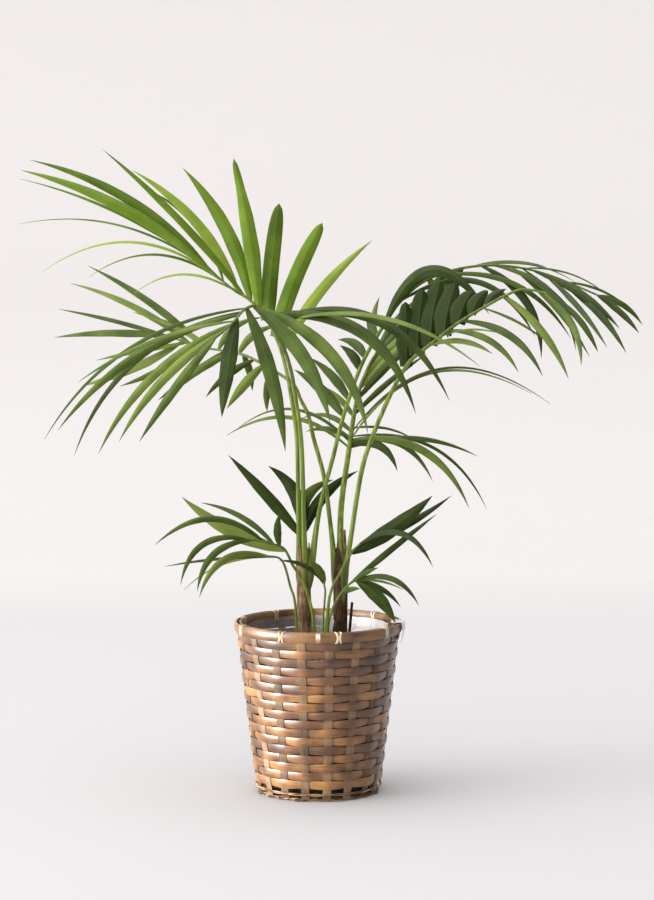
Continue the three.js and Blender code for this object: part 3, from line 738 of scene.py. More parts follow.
bpy.ops.object.select_all(action="DESELECT")
bpy.ops.mesh.primitive_ico_sphere_add(subdivisions=1, radius=1.0)
crumb = bpy.context.object
crumbs = []
for number in range(CRUMBS):
    angle = chance.uniform(0, 2 * math.pi)
    away = (soil_high.x - 6 * MM) * math.sqrt(chance.random())
    size = chance.uniform(1.6, 4.2) * MM
    flat = chance.uniform(0.4, 0.9)
    centre = around(angle, away, soil_high.z + 0.3 * size)

    def where(x, y, z):
        lump = 1 + 0.3 * noise.noise((x, y, z + number))
        return centre + size * Vector((x, y * flat * 1.3, z * flat)) * lump

    crumbs.append(lay(crumb, f"crumb_{number}", where))
drop(crumb)
peat = grained("damp_peat_and_bark", "#1d130d", "#4a3526", 0.006, 0.0012, 0.0012, Roughness=0.95)
finish_piece(join([soil] + crumbs, "soil_with_bark"), peat, ["soil"], 25)

# %% [markdown]
# ## The film liner
#
# A bag of clear film keeps water off the bamboo. Film that was folded and pushed into a basket
# stays crumpled: flat facets with sharp creases, which catch the light. So the bag starts as a
# smooth sheet laid in the frame's shape, and two Displace modifiers with cell patterns give it
# facets. One corner of the sheet is folded out over the rim.

# %% Film
film_low, film_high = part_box("film_liner")
bag_top = hoop_high.z - 10 * MM
mouth = abs(film_low.x) - 0.8 * MM
belly = base_high.x + 0.6 * MM
FLAP_ANGLE = math.radians(82)
FLAP_INSIDE = 22 * MM  # how far down inside the mouth the flap begins
FLAP_DROP = 36 * MM
FLAP_WIDTH = 34 * MM


def bag_where(x, y, z):
    """Up from the middle of the floor, round the foot and up the wall to the mouth."""
    angle = x * 2 * math.pi
    run = y + 0.5
    floor_share = 0.25
    top = bag_top + 2.5 * MM * noise.noise((4 * math.cos(angle), 4 * math.sin(angle), 3.0))
    if run < floor_share:
        radius = (belly - 5 * MM) * run / floor_share
        return around(angle, radius, film_low.z + 0.5 * MM)
    share = (run - floor_share) / (1 - floor_share)
    level = film_low.z + 0.5 * MM + share * (top - film_low.z)
    flared = belly - 3 * MM + (level - FOOT_BAND) / (shoulder - 2 * FOOT_BAND) * (mouth - belly)
    radius = max(min(flared, mouth - 2.5 * MM), belly - 6 * MM)
    return around(angle, radius, level)


def flap_where(x, y, z):
    """Out from the mouth, over the rim and down outside it, with ragged folds."""
    reach = film_high.x - 1.5 * MM - (mouth - 3 * MM)
    total = FLAP_INSIDE + reach + FLAP_DROP
    run = x * total
    crease = 2.0 * MM * noise.noise((x * 5, y * 4, 9.0))
    if run < FLAP_INSIDE:
        radius, level = mouth - 3 * MM, bag_top - 12 * MM + run
    elif run < FLAP_INSIDE + reach:
        radius, level = mouth - 3 * MM + (run - FLAP_INSIDE), hoop_high.z + 1.6 * MM + abs(crease) * 0.4
    else:
        fallen = run - FLAP_INSIDE - reach
        radius, level = film_high.x - 1.8 * MM - 0.12 * fallen + crease, hoop_high.z + 1.6 * MM - fallen
    width = FLAP_WIDTH * (1 - 0.35 * max(0, x - 0.55)) * (1 + 0.25 * noise.noise((x * 7, 1.0, 2.0)))
    return around(FLAP_ANGLE + y * width / radius, radius, level)


bag_template = flat_strip("bag_template", 200, 64, 0)
bag = lay(bag_template, "bag", bag_where)
flap_template = flat_strip("flap_template", 34, 14, 0)
flap = lay(flap_template, "flap", flap_where)
drop(bag_template, flap_template)
film = join([bag, flap], "film_liner_sheet")
weld(film, 0.05 * MM)
for name, size, depth in (("folds", 0.045, 3.2 * MM), ("creases", 0.014, 1.2 * MM)):
    cells = bpy.data.textures.new(name, "VORONOI")
    cells.noise_scale = size
    cells.distance_metric = "DISTANCE"
    crumple = film.modifiers.new(name, "DISPLACE")
    crumple.texture = cells
    crumple.texture_coords = "LOCAL"
    crumple.strength = depth
    crumple.mid_level = 0.55
    bpy.ops.object.modifier_apply(modifier=crumple.name)

clear_film, tree, shader = start_material(
    "clear_polythene_film", Roughness=0.14, IOR=1.5, Specular_IOR_Level=0.7
)
place = add(tree, "ShaderNodeTexCoord").outputs["Object"]
sides = add(tree, "ShaderNodeSeparateXYZ", {"Vector": place})
# Painted light: the film is almost opaque on the right, where the lamp lights the inner wall and the film
# reads white, and nearly clear on the left, where the wall in shade shows through.
painted_light_opacity = add(
    tree, "ShaderNodeMapRange",
    {"Value": sides.outputs["X"], "From Min": -20 * MM, "From Max": 50 * MM, "To Min": 0.3, "To Max": 0.97},
)
lifted = add(
    tree, "ShaderNodeMapRange",
    {"Value": sides.outputs["Z"], "From Min": 0.2, "From Max": 0.26, "To Min": 0.0, "To Max": 1.0},
)
add(tree, "ShaderNodeMath", {0: painted_light_opacity, 1: lifted}, operation="MULTIPLY", into=shader.inputs["Alpha"])
haze = add(tree, "ShaderNodeTexNoise", {"Vector": place, "Scale": 40.0, "Detail": 3.0})
add(
    tree, "ShaderNodeValToRGB", {"Fac": haze}, [(0.35, "#bdb6b4"), (0.65, "#dedad9")],
    into=shader.inputs["Base Color"],
)
wrinkle = add(tree, "ShaderNodeTexVoronoi", {"Vector": place, "Scale": 90.0}, feature="F1")
add(
    tree, "ShaderNodeBump", {"Height": wrinkle, "Strength": 0.5, "Distance": 0.002},
    into=shader.inputs["Normal"],
)
finish_piece(film, clear_film, ["film_liner"], 12)

# %% [markdown]
# ## Stems
#
# A kentia's stem is wrapped in the brown, fibrous bases of old leaves. Each stem is a laid tube
# with an uneven skin, with torn sheaths round it that end in ragged points. The fibres run up the
# stem, so the material's noise is squeezed across and drawn out upwards.

# %% Stem material
def fibrous(name, dark, middle, light):
    """Old leaf sheaths: brown, dry and rough, with fibres 1 mm wide that run upwards."""
    material, tree, shader = start_material(name, Roughness=0.85, Specular_IOR_Level=0.25)
    place = add(tree, "ShaderNodeTexCoord").outputs["Object"]
    drawn = add(tree, "ShaderNodeMapping", {"Vector": place, "Scale": (600, 600, 22)})
    fibres = add(tree, "ShaderNodeTexNoise", {"Vector": drawn, "Scale": 1.0, "Detail": 4.0} )
    patches = add(tree, "ShaderNodeTexNoise", {"Vector": place, "Scale": 55.0, "Detail": 3.0})
    both = add(tree, "ShaderNodeMath", {0: fibres, 1: patches}, operation="ADD" )
    half = add(tree, "ShaderNodeMath", {0: both, 1: 2.0}, operation="DIVIDE")
    stops = [(0.34, dark), (0.66, light), (0.5, middle)]
    add(tree, "ShaderNodeValToRGB", {"Fac": half}, stops, into=shader.inputs["Base Color"])
    add(
        tree, "ShaderNodeBump", {"Height": fibres, "Strength": 0.7, "Distance": 0.0012},
        into=shader.inputs["Normal"],
    )
    return material


# %% Stems and torn sheaths
def taper(share):
    """A stem's radius at a share of its height, as a share of the frame's stem at its foot."""
    return 0.94 - 0.14 * share**0.7


def stem(node, sheaths):
    """A stem in the place of its frame's, with torn sheaths, each (begin, rise, facing, spread)."""
    low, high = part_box(node)
    axis = (low + high) / 2
    foot = (high.x - low.x) / 2
    tall = high.z - low.z
    start = chance.uniform(0, 50)

    def around_axis(angle, radius, level):
        return around(angle, radius, level) + Vector((axis.x, axis.y, 0))

    def trunk(x, y, z):
        angle = (y + 0.5) * 2 * math.pi
        radius = foot * taper(x)
        ridge = noise.noise((2 * math.cos(angle), 2 * math.sin(angle), start + 9 * x))
        fibre = noise.noise((11 * math.cos(angle), 11 * math.sin(angle), start + 3 * x))
        return around_axis(angle, radius * (1 + 0.09 * ridge + 0.04 * fibre), low.z + x * tall)

    template = flat_strip("trunk_template", 60, 64, 0)
    body = lay(template, f"{node}_trunk", trunk)
    drop(template)
    weld(body, 0.05 * MM)
    bpy.ops.object.mode_set(mode="EDIT")
    bpy.ops.mesh.select_all(action="DESELECT")
    bpy.ops.mesh.select_non_manifold(extend=False)
    bpy.ops.mesh.edge_face_add()
    bpy.ops.object.mode_set(mode="OBJECT")

    wraps = [body]
    wrap_template = flat_strip("wrap_template", 40, 30, 0.7 * MM)
    for begin, rise, facing, spread in sheaths:
        def wrap(x, y, z):
            ragged = 0.1 * noise.noise((14 * y, begin * 30, 2.0))
            ragged += 0.05 * noise.noise((40 * y, 5.0, begin * 9))
            top = rise * (1 - 1.6 * y * y + ragged)
            level = low.z + begin + x * top
            angle = facing + y * spread * (1 - 0.45 * x)
            off = 0.5 * MM + 1.3 * MM * x + 0.5 * MM * noise.noise((6 * x, 6 * y, begin * 50))
            over = max(0, level - high.z) / (30 * MM)
            radius = foot * (taper((level - low.z) / tall) - 0.1 * over) + off + z
            return around_axis(angle, radius, level)

        wraps.append(lay(wrap_template, f"{node}_wrap", wrap))
    drop(wrap_template)
    return join(wraps, f"{node}_trunk")


old_sheath = fibrous("fibrous_leaf_sheath", "#3a291c", "#7a5f43", "#bb9c76")
dark_sheath = fibrous("dark_leaf_sheath", "#1b120c", "#3f2d1f", "#75583c")
left_sheaths = [(0, 0.08, 0.4, 4.2), (0.05, 0.11, 2.6, 3.6), (0.1, 0.125, -0.9, 3.2), (0.12, 0.1, 1.2, 3.0)]
right_sheaths = [(0, 0.09, -0.6, 4.2), (0.06, 0.1, 1.9, 3.9), (0.1, 0.12, -0.4, 3.0), (0.09, 0.13, 3.6, 3.4)]
finish_piece(stem("left_stem", left_sheaths), old_sheath, ["left_stem"])
finish_piece(stem("right_stem", right_sheaths), dark_sheath, ["right_stem"])

# %% [markdown]
# ## Fronds
#
# A frond is one leaf: a green stalk that carries two rows of long, narrow leaflets. Each leaflet
# is a shallow roof along its midrib, widest near its middle, and ends in a long point. One
# leaflet is modelled once, and every copy is laid along its own arch, from its place on the stalk
# to its tip. The rows below list each leaflet as it grew: where it leaves the stalk, its tip, its
# bow, its width and how far its upper side faces the sky.

# %% Paths of stalks and leaflets
def smooth_path(corners, steps=16):
    """Points close together on a smooth curve through corners."""
    points = []
    ends = [2 * corners[0] - corners[1]] + corners + [2 * corners[-1] - corners[-2]]
    for a, b, c, d in zip(ends, ends[1:], ends[2:], ends[3:]):
        for i in range(steps):
            t = i / steps
            pull = (c - a) * t + (2 * a - 5 * b + 4 * c - d) * t * t + (3 * b - a - 3 * c + d) * t**3
            points.append(b + pull / 2)
    return points + [corners[-1]]


def point_along(points, share):
    """The point at a share of a path's length."""
    lengths = [(b - a).length for a, b in zip(points, points[1:])]
    left_over = share * sum(lengths)
    for a, b, length in zip(points, points[1:], lengths):
        if left_over <= length:
            return a.lerp(b, left_over / length)
        left_over -= length
    return points[-1]


WIDTHS = [(0, 0.28), (0.12, 0.66), (0.36, 1), (0.62, 0.86), (0.84, 0.45), (1.0, 0.015)]


def width_share(t, blunt=0.0):
    """A leaflet's width at a share of its length, as a share of its full width."""
    for (t0, w0), (t1, w1) in zip(WIDTHS, WIDTHS[1:]):
        if t <= t1:
            pointed = w0 + (w1 - w0) * (t - t0) / (t1 - t0)
            break
    rounded = math.sqrt(max(0.0004, 1 - t**7))
    return max(pointed, rounded * min(1, 0.8 + t) * blunt)


FOLD = 0.2  # how far a leaflet's edges drop below its midrib, as a share of its width


def leaflet(template, name, base, tip, bow, width, face, blunt=0, shade=None):
    """Lays one leaflet. Its midrib is an arch from base to tip, and its upper side turns from the
    front (0) to the sky (90). A blunt tip is rounded, and shade fixes how light its green is."""
    chord = tip - base
    up = Vector((-chord.z, 0, chord.x)).normalized()
    if up.z < 0:
        up.negate()
    middle = (base + tip) / 2 + up * 2 * bow
    twist = math.radians(chance.uniform(-10, 10))
    tilt = math.radians(face + chance.uniform(-5, 5))
    pleat = chance.uniform(0.6, 1.2)

    def where(t, y, z):
        centre = base * (1 - t) ** 2 + middle * 2 * t * (1 - t) + tip * t * t
        along = ((middle - base) * (1 - t) + (tip - middle) * t).normalized()
        turn = tilt + twist * t
        facing = Vector((0, -math.cos(turn), math.sin(turn)))
        normal = (facing - along * facing.dot(along)).normalized()
        across = along.cross(normal)
        wide = width * width_share(t, blunt)
        side = 2 * y
        ribs = 0.018 * pleat * math.cos(3 * math.pi * side)
        folded = wide * (FOLD * abs(side) ** 1.3 - ribs)
        return centre + across * (y * wide) + normal * (z - folded)

    blade = lay(template, name, where)
    # A random shade is the leaflet's own green. A fixed shade from a frond's rows sets how light the leaflet
    # looks where it lies: partly its own green, partly painted light and painted shade.
    set_attribute(blade, "shade", chance.random() if shade is None else shade)
    return blade


leaf_template = flat_strip("leaf_template", 26, 8, 0.5 * MM)
under = leaf_template.data.attributes.new("under", "FLOAT", "POINT")
under.data.foreach_set("value", [1.0 if v.co.z < 0 else 0.0 for v in leaf_template.data.vertices])
print("a leaflet has", len(leaf_template.data.polygons), "faces")

# %% [markdown]
# ### What a palm leaflet looks like
#
# The upper side is a waxy green with a pale midrib and fine veins that run its whole length. The
# lower side is duller and lighter. No two leaflets are quite the same green, and young ones are
# yellower. The veins are a band pattern on the leaflet's own map, about 2 mm apart.

# %% Leaf and stalk materials
VEINS_ACROSS = 12  # veins across a leaflet's full width
BAND_SCALE = VEINS_ACROSS * math.pi / 10  # the band pattern repeats every 0.1 pi at scale 1


def leaf_green(name, shadow, green, bright, underside, roughness):
    """A waxy leaflet: three greens on its upper side, a pale midrib and a duller lower side."""
    material, tree, shader = start_material(name, IOR=1.42, Specular_IOR_Level=0.2 )
    own_map = add(tree, "ShaderNodeTexCoord").outputs["UV"]
    place = add(tree, "ShaderNodeTexCoord").outputs["Object"]
    parts = add(tree, "ShaderNodeSeparateXYZ", {"Vector": own_map})
    patches = add(tree, "ShaderNodeTexNoise", {"Vector": place, "Scale": 22.0, "Detail": 3.0})
    shade = add(tree, "ShaderNodeAttribute", attribute_name="shade").outputs["Fac"]
    turned_map = add(tree, "ShaderNodeMapping", {"Vector": own_map, "Rotation": (0, 0, math.pi / 2)})
    veins = add(
        tree, "ShaderNodeTexWave",
        {"Vector": turned_map, "Scale": BAND_SCALE, "Distortion": 0.6, "Detail": 1.0},
    )
    veined = add(
        tree, "ShaderNodeMath", {0: veins.outputs["Fac"], 1: 0.3, 2: patches}, operation="MULTIPLY_ADD"
    )
    # The shade attribute moves the green towards the shadow or the bright stop; where it is fixed, it is
    # partly painted light and painted shade.
    blended = add(tree, "ShaderNodeMath", {0: veined, 1: shade}, operation="ADD")
    halved = add(tree, "ShaderNodeMath", {0: blended, 1: 2.3}, operation="DIVIDE")
    stops = [(0.25, shadow), (0.75, bright), (0.5, green)]
    tone = add(tree, "ShaderNodeValToRGB", {"Fac": halved}, stops)
    middle = add(tree, "ShaderNodeMath", {0: parts.outputs["Y"], 1: 0.5}, operation="SUBTRACT")
    away = add(tree, "ShaderNodeMath", {0: middle}, operation="ABSOLUTE")
    rib = add(
        tree, "ShaderNodeMapRange", {"Value": away, "From Max": 0.035, "To Min": 0.28, "To Max": 0.0}
    )
    ribbed = add(tree, "ShaderNodeMix", {0: rib, 6: tone, 7: linear(bright)}, data_type="RGBA")
    below = add(tree, "ShaderNodeAttribute", attribute_name="under").outputs["Fac"]
    turned = {0: below, 6: ribbed.outputs[2], 7: linear(underside)}
    sided = add(tree, "ShaderNodeMix", turned, data_type="RGBA")
    tree.links.new(sided.outputs[2], shader.inputs["Base Color"])
    add(
        tree, "ShaderNodeBump", {"Height": veins.outputs["Fac"], "Strength": 0.35, "Distance": 0.0004},
        into=shader.inputs["Normal"],
    )
    add(
        tree, "ShaderNodeMapRange",
        {"Value": patches, "To Min": roughness - 0.08, "To Max": roughness + 0.1},
        into=shader.inputs["Roughness"],
    )
    return material


greens = {
    "pale_leaf": leaf_green("young_palm_leaf", "#425813", "#6b8723", "#97ab44", "#869a44", 0.42),
    "leaf": leaf_green("grown_palm_leaf", "#27350b", "#4c5f1f", "#7d8d40", "#707e3d", 0.38),
    "dark_leaf": leaf_green("old_palm_leaf", "#1f2a0a", "#3a4817", "#5e6d2b", "#5c692d", 0.34),
}


def stalk_green(name, base, green, light, far):
    """A smooth stalk, brownish where it leaves the stem, green above, and olive among its leaflets."""
    material, tree, shader = start_material(name, IOR=1.45, Roughness=0.42, Specular_IOR_Level=0.45)
    place = add(tree, "ShaderNodeTexCoord").outputs["Object"]
    drawn = add(tree, "ShaderNodeMapping", {"Vector": place, "Scale": (260, 260, 9)})
    streaks = add(tree, "ShaderNodeTexNoise", {"Vector": drawn, "Scale": 1.0, "Detail": 3.0})
    tone = add(tree, "ShaderNodeValToRGB", {"Fac": streaks}, [(0.35, green), (0.68, light)])
    run = add(tree, "ShaderNodeAttribute", attribute_name="along").outputs["Fac"]
    foot = add(
        tree, "ShaderNodeMapRange", {"Value": run, "From Max": 0.08, "To Min": 0.55, "To Max": 0.0}
    )
    mixed = add(tree, "ShaderNodeMix", {0: foot, 6: tone, 7: linear(base)}, data_type="RGBA")
    leafy = add(
        tree, "ShaderNodeMapRange", {"Value": run, "From Min": 0.55, "From Max": 0.9, "To Max": 0.6}
    )
    olive = add(
        tree, "ShaderNodeMix", {0: leafy, 6: mixed.outputs[2], 7: linear(far)}, data_type="RGBA"
    )
    tree.links.new(olive.outputs[2], shader.inputs["Base Color"])
    add(
        tree, "ShaderNodeBump", {"Height": streaks, "Strength": 0.3, "Distance": 0.0004},
        into=shader.inputs["Normal"],
    )
    return material


fresh_stalk = stalk_green("fresh_palm_stalk", "#4a3f22", "#52661a", "#93a63a", "#43541c")

# %% Building a frond
stem_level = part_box("left_stem")[1].z + 0.3 * MM
soil_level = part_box("soil")[1].z + 0.3 * MM
HEEL_STEPS = 8


def frond(node, slot, level, route, foot, end, leafy, leaves, swell=1.0, heel=None):
    """One frond: its stalk through the route's points above level, and its rows of leaflets. The
    stalk's radius is foot at its foot and end at its tip, its leaflets start at the share leafy, its
    foot is swell times as thick, and it climbs to its foot from heel, if that is given. Each row is
    (place, x, y, z, bow, width, face), in millimetres and degrees, and then for some the roundness
    of the tip and the shade."""
    lift = Vector((0, 0, level))
    path = smooth_path([Vector(point) * MM + lift for point in route])
    shares = [i / (len(path) - 1) for i in range(len(path))]
    radii = []
    for share in shares:
        radius = (foot + (end - foot) * share**1.3) * MM
        radii.append(radius * (1 + (swell - 1) * max(0, 1 - share / 0.1) ** 1.5))
    clasp = Vector(heel or route[0]) * MM + lift
    heel_shares = [i / HEEL_STEPS for i in range(HEEL_STEPS if heel else 0)]
    below = [clasp.lerp(path[0], share) for share in heel_shares]
    thin = [radii[0] * (0.2 + 0.8 * math.sin(share * math.pi / 2)) for share in heel_shares]
    stalk = tube(f"{node}_stalk", below + path, thin + radii)
    field = stalk.data.attributes.new("along", "FLOAT", "POINT")
    top = max(point.z for point in path)
    field.data.foreach_set("value", [(v.co.z - level) / (top - level) for v in stalk.data.vertices])
    finish_piece(stalk, fresh_stalk, [node])
    blades = []
    for at, x, y, z, bow, width, face, *kind in leaves:
        base = point_along(path, leafy + (1 - leafy) * at * 0.985)
        tip = Vector((x, y, z)) * MM + lift
        blades.append(leaflet(leaf_template, "blade", base, tip, bow * MM, width * MM, face, *kind))
    finish_piece(join(blades, f"{node}_leaflets"), greens[slot], [node], 60)


# In the rows below, a fixed shade sets how light a leaflet looks where it lies: partly its own green, partly
# painted light and painted shade.
frond(
    "upper_left_frond", "pale_leaf", stem_level,
    [
        (-32, 12, 0), (-34, 14, 98), (-37, 20, 225), (-48, 30, 306), (-56, 42, 346), (-68, 54, 386),
        (-88, 66, 426), (-118, 78, 460), (-144, 86, 476), (-170, 94, 496), (-196, 102, 521),
    ],
    foot=4, end=1.8, leafy=0.64,
    leaves=[
        (0, 94, 125, 562, 15, 20, 15), (0.14, 7, 90, 593, 8, 27, 12, 1),
        (0.3, -68, 115, 626, 3, 28, 12, 1), (0.42, -146, 85, 704, 5, 28, 12, 0.6),
        (0.52, -236, 125, 688, 19, 25, 12), (0.58, -370, 60, 720, 11, 14, 30),
        (0.64, -322, 100, 684, 25, 19, 25), (0.68, -325, 165, 466, 33, 12, 78),
        (0.78, -403, 175, 496, 46, 12, 80), (0.84, -488, 210, 503, 60, 12, 80),
        (0.9, -528, 180, 588, 43, 12, 80), (0.95, -520, 145, 668, 22, 12, 70),
        (0.8, -300, 110, 652, 26, 9, 40), (1, -513, 90, 684, 24, 22, 40),
        (1, -500, 125, 701, 30, 19, 35),
    ], swell=1.8, heel=(-34, 7, -30),
)
frond(
    "left_front_frond", "leaf", stem_level,
    [
        (-23, 2, 0), (-25, 0, 98), (-29, -6, 225), (-40, -14, 307), (-46, -24, 345), (-58, -40, 385),
        (-78, -62, 425), (-100, -88, 458), (-122, -125, 456), (-141, -165, 436), (-170, -215, 413),
    ],
    foot=4, end=1.8, leafy=0.69,
    leaves=[
        (0, 263, -300, 373, 50, 14, 65), (0.04, 218, -165, 307, 76, 21, 40),
        (0.1, 161, -208, 289, 66, 24, 35), (0.2, 82, -235, 259, 40, 24, 25),
        (0.3, 20, -265, 280, 22, 26, 20), (0.42, -53, -245, 230, 10, 25, 12),
        (0.62, -156, -272, 289, 3, 27, 10), (0.4, -459, -110, 237, 52, 12, 60),
        (0.5, -413, -60, 204, 55, 14, 50), (0.55, -430, -185, 259, 36, 19, 45),
        (0.66, -395, -200, 340, 20, 12, 60), (0.72, -359, -245, 226, 30, 17, 35),
        (0.86, -322, -295, 251, 18, 17, 30), (1, -286, -345, 256, 5, 17, 30),
    ], swell=1.8, heel=(-23, -2.5, -38),
)
frond(
    "left_back_frond", "leaf", stem_level,
    [
        (29, 9, 0), (22, 16, 68), (10, 26, 158), (-8, 30, 225), (-17, 36, 264), (-30, 44, 290),
        (-45, 58, 318), (-89, 90, 344), (-128, 130, 361), (-172, 170, 367), (-218, 205, 372),
        (-265, 240, 388),
    ],
    foot=4, end=1.6, leafy=0.6,
    leaves=[
        (0.02, -88, 40, 270, 4, 14, 20), (0.1, -158, 66, 273, 4, 18, 20),
        (0.2, -196, 96, 290, 8, 14, 30), (0.32, -117, 185, 294, 4, 14, 15),
        (0.36, -70, 215, 408, 14, 16, 40), (0.42, -250, 120, 300, 8, 15, 35),
        (0.5, -281, 150, 281, 2, 15, 35), (0.56, -98, 290, 418, 18, 16, 50),
        (0.62, -330, 240, 430, 10, 14, 55), (0.68, -413, 280, 511, 12, 17, 55),
        (0.74, -352, 200, 301, -4, 16, 40), (0.8, -446, 310, 478, 16, 17, 60),
        (0.86, -395, 230, 345, 4, 15, 50), (0.9, -423, 262, 297, -6, 22, 50),
        (0.94, -470, 335, 430, 6, 14, 65), (1, -475, 300, 381, 10, 20, 55),
    ], swell=1.8, heel=(28.5, -3, -42),
)
frond(
    "right_arch_frond", "leaf", stem_level,
    [
        (-13, 3, 0), (2, 5, 103), (26, 12, 197), (45, 24, 270), (74, 38, 350), (106, 46, 408),
        (138, 52, 456), (186, 60, 496), (254, 70, 517), (328, 80, 519), (402, 92, 502),
        (493, 105, 464),
    ],
    foot=4, end=1.6, leafy=0.31,
    leaves=[
        # Every leaflet of the arch has a fixed low shade: painted shade, for leaflets that are seen from
        # below, on their shaded side.
        (0, -42, 105, 338, 8, 20, 30, 0, 0.3), (0.05, -14, 84, 360, 8, 18, 30, 0, 0.3),
        (0.14, 37, 64, 383, 8, 18, 25, 0, 0.1), (0.18, 34, 104, 390, 12, 18, 30, 0, 0.3),
        (0.24, 83, 94, 424, 3, 18, 20, 0, 0.2), (0.3, 291, -10, 441, 84, 26, 30, 0, 0),
        (0.38, 368, -30, 404, 66, 15, 50, 0, 0), (0.48, 226, 16, 416, 6, 26, 20, 0, 0.4),
        (0.53, 191, 112, 380, 12, 28, 20, 0, 0.2), (0.58, 227, 140, 390, 14, 28, 20, 0, 0.3),
        (0.5, 432, 20, 398, 46, 14, 55, 0, 0.4), (0.64, 380, -10, 365, 32, 16, 40, 0, 0),
        (0.6, 402, 225, 512, 11, 12, 82, 0, 0.3), (0.62, 452, 190, 486, 20, 12, 70, 0, 0.6),
        (0.68, 435, -55, 383, 38, 15, 50, 0, 0.2), (0.73, 455, -100, 375, 12, 12, 55, 0, 0.3),
        (0.76, 480, 45, 374, 14, 11, 65, 0, 0.2), (0.76, 514, 235, 460, 17, 11, 80, 0, 0.4),
        (0.8, 512, -25, 417, 14, 17, 45, 0, 0), (0.83, 480, -145, 394, 8, 12, 55, 0, 0.1),
        (0.86, 517, -90, 381, 14, 16, 50, 0, 0), (0.9, 545, 130, 440, 12, 11, 65, 0, 0.2),
        (1, 553, 60, 404, 6, 13, 45, 0, 0.1), (1, 566, 140, 414, 12, 14, 45, 0, 0.4),
    ], swell=1.8, heel=(-15, 1, -36),
)
frond(
    "right_frond", "leaf", stem_level,
    [
        (45, -5, 0), (52, -10, 33), (72, -18, 163), (90, -26, 227), (122, -38, 305), (151, -48, 358),
        (178, -57, 384), (203, -66, 404), (231, -73, 427), (270, -80, 452), (316, -88, 478),
        (344, -95, 488), (382, -105, 482),
    ],
    foot=4.4, end=1.8, leafy=0.57,
    leaves=[
        # The broad, blunt leaflets first in the list, and a few after them, have low and negative fixed
        # shades: painted shade, for leaflets that stand in shadow and are seen from below without direct
        # light.
        (0, 148, -22, 463, 0, 34, 10, 0.75, -0.1), (0.1, 178, -8, 484, 3, 40, 8, 0.8, -0.3),
        (0.2, 207, 6, 496, 4, 42, 8, 0.8, -0.15), (0.31, 234, 0, 494, 4, 42, 8, 0.8, -0.3),
        (0.42, 260, -38, 482, 4, 38, 12, 0.8, -0.2), (0.52, 287, -42, 483, 6, 28, 20, 0.6, -0.25),
        (0.62, 318, -45, 486, 6, 18, 30, 0, -0.1), (0.2, 290, -150, 383, 16, 14, 45),
        (0.28, 306, -185, 418, 12, 9, 70), (0.35, 332, -170, 354, 22, 14, 40),
        (0.45, 369, -215, 351, 26, 15, 35, 0, 0.15), (0.6, 383, -120, 400, 8, 9, 70),
        (0.75, 415, -165, 343, 14, 15, 40), (1, 460, -205, 391, 14, 12, 45, 0, 0.1),
        (1, 430, -240, 370, 18, 13, 45),
    ], swell=1.8, heel=(43, -8.5, -54),
)
frond(
    "middle_frond", "leaf", stem_level,
    [
        (38, 10, 0), (38, 22, 70), (41, 36, 120), (53, 60, 202), (61, 90, 255), (71, 120, 300),
        (81, 140, 325), (91, 160, 346), (106, 185, 369),
    ],
    foot=5.6, end=1.6, leafy=0.5,
    leaves=[
        (0, -161, 105, 222, 45, 14, 65), (0.05, -148, 150, 226, 50, 13, 70),
        (0.08, -22, 112, 229, 12, 13, 40), (0.14, -32, 200, 243, 20, 14, 50),
        (0.28, 0, 160, 307, 8, 12, 40), (0, 275, 40, 193, 26, 15, 60),
        (0.02, 136, 12, 170, 25, 16, 25), (0.04, 197, 20, 151, 36, 12, 40),
        (0.07, 257, -40, 112, 48, 17, 35, 0, 0.65), (0.1, 293, 85, 96, 52, 10, 60),
        (0.18, 176, 132, 207, 14, 12, 70), (0.14, 397, 22, 286, 88, 11, 70),
        (0.07, 369, 52, 300, 80, 12, 68), (0.3, 190, 140, 363, 6, 12, 40),
        (0.44, 190, 200, 396, 6, 14, 30), (0.56, 205, 240, 413, 6, 18, 30),
        (0.68, 210, 270, 430, 6, 18, 30), (0.82, 200, 300, 440, 6, 14, 35),
        (1, 175, 330, 448, 6, 14, 40), (1, 110, 330, 453, 10, 14, 40),
    ], swell=1.8,
)
frond(
    "fan_frond", "dark_leaf", stem_level,
    [
        (-20, 16, 0), (-22, 19, 28), (-26, 22, 51), (-28, 24, 64),
    ],
    foot=3, end=2.4, leafy=0.6,
    leaves=[
        (0.6, -155, 40, 195, 3, 21, 15), (0.9, -87, 62, 174, 20, 26, 15), (1, 26, 72, 149, 24, 22, 12),
        (0.7, 69, 74, 164, 18, 21, 15),
    ],
)
frond(
    "small_left_frond", "leaf", soil_level,
    [
        (-2, -26, 0), (-6, -29, 78), (-14, -32, 125), (-28, -34, 165), (-43, -38, 189),
        (-57, -42, 217), (-75, -50, 227), (-98, -60, 234), (-122, -72, 239),
    ],
    foot=3, end=1.6, leafy=0.75,
    leaves=[
        (0, -233, -20, 305, -12, 26, 30, 0, 1.0), (0.15, -65, -80, 283, 4, 14, 20, 0, 0.2),
        (0.3, -202, 12, 291, 15, 13, 55, 0, 0.3), (0.55, -274, -120, 235, 44, 15, 50, 0, 0.3),
        (0.85, -201, -178, 164, 28, 14, 40, 0, 0.3), (1, -230, -150, 171, 36, 13, 35, 0, 0.35),
    ],
)
frond(
    "lower_left_frond", "leaf", soil_level,
    [
        (-34, -24, 0), (-39, -26, 115), (-48, -30, 153), (-58, -36, 190), (-68, -42, 203),
        (-86, -50, 207),
    ],
    foot=2.4, end=1.5, leafy=0.85,
    leaves=[
        (1, -200, -118, 145, 34, 14, 35), (0.8, -262, -52, 189, 6, 10, 65),
        (0.5, -232, 20, 138, 22, 10, 60),
    ],
)
frond(
    "small_dark_frond", "dark_leaf", soil_level,
    [
        (6, -44, 0), (8, -48, 83), (11, -51, 129), (12, -52, 148), (9, -54, 163),
    ],
    foot=2, end=1.5, leafy=0.9,
    leaves=[
        (1, -67, -66, 201, 12, 9, 35), (0.8, -15, -64, 201, 5, 16, 15),
    ],
)
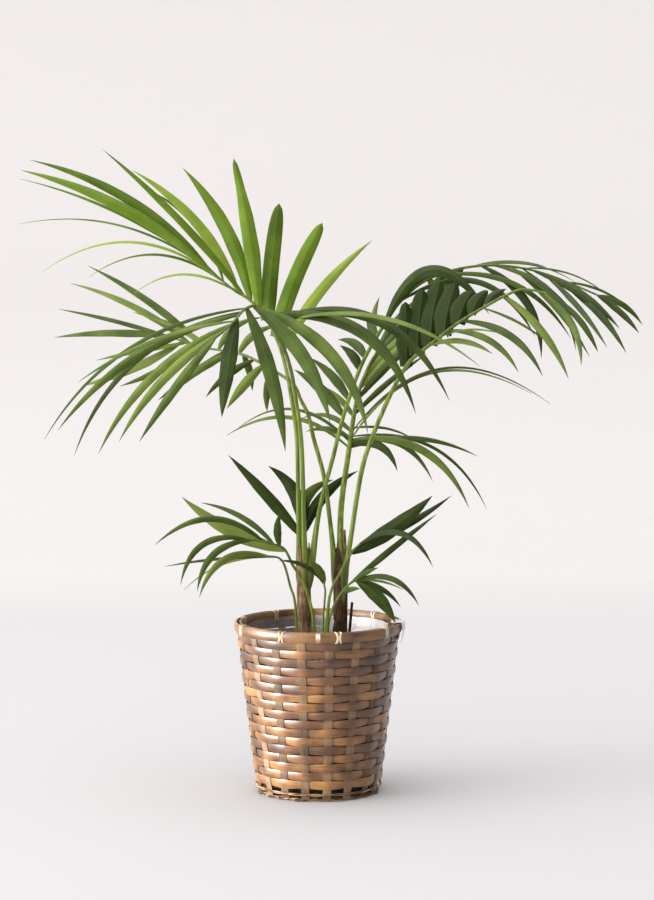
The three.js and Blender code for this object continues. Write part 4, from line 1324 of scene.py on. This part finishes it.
frond(
    "small_right_frond", "dark_leaf", soil_level,
    [
        (10, -18, 0), (15, -22, 93), (22, -24, 143), (38, -25, 175), (58, -27, 211), (72, -30, 225),
    ],
    foot=3, end=1.6, leafy=0.85,
    leaves=[
        (0.4, 194, -48, 310, -6, 28, 20), (0.8, 228, -10, 306, -6, 16, 40),
        (1, 193, -122, 198, 40, 13, 40, 0, 0.2),
    ],
)
frond(
    "lower_right_frond", "leaf", soil_level,
    [
        (14, -38, 0), (16, -42, 76), (22, -44, 108), (36, -48, 138), (56, -53, 162), (66, -57, 167),
    ],
    foot=2.8, end=1.6, leafy=0.72,
    leaves=[
        (0.3, 71, -72, 154, 3, 10, 30), (0.7, 202, -48, 279, 2, 12, 35, 0, 0.0),
        (0.85, 102, -78, 191, 3, 10, 30), (0.9, 141, -22, 115, 12, 11, 35),
        (0.95, 145, -58, 150, 8, 7, 60), (1, 131, -72, 96, 8, 24, 20, 0, 0.2),
        (1, 170, -112, 131, 26, 12, 40, 0, 0.1),
    ],
)

drop(leaf_template)

# %% [markdown]
# ## Two dead pieces
#
# A stalk that was cut off long ago is left as a black stub between the stems, and one dried
# sheath stands up beside the right frond's stalk. Both are thin uneven tubes.

# %% Stub and dried sheath
def dead_peg(node, material, level, corners, radius, end):
    """A thin, uneven tube through corners in millimetres above level."""
    path = smooth_path([Vector(corner) * MM + Vector((0, 0, level)) for corner in corners])
    radii = []
    for i in range(len(path)):
        share = i / (len(path) - 1)
        rough = 1 + 0.18 * noise.noise((0, 3.0, share * 14))
        radii.append((radius + (end - radius) * share) * rough)
    peg = tube(f"{node}_fibre", path, radii)
    finish_piece(peg, material, [node])


charred = fibrous("dead_stalk_fibre", "#0f0b09", "#221a15", "#3d3027")
stub = [(50, -20, 0), (53, -20, 63), (58, -20, 123)]
dried = [(46, 6, 0), (46, 10, 38), (45, 14, 69)]
dead_peg("cut_petiole", charred, soil_level, stub, 3.0 * MM, 2.4 * MM)
dead_peg("dry_sheath", old_sheath, stem_level, dried, 3.8 * MM, 2.0 * MM)

# %% [markdown]
# ## Finish
#
# The finished palm has to stay in the frame's box.

# %% End
print("palm built")
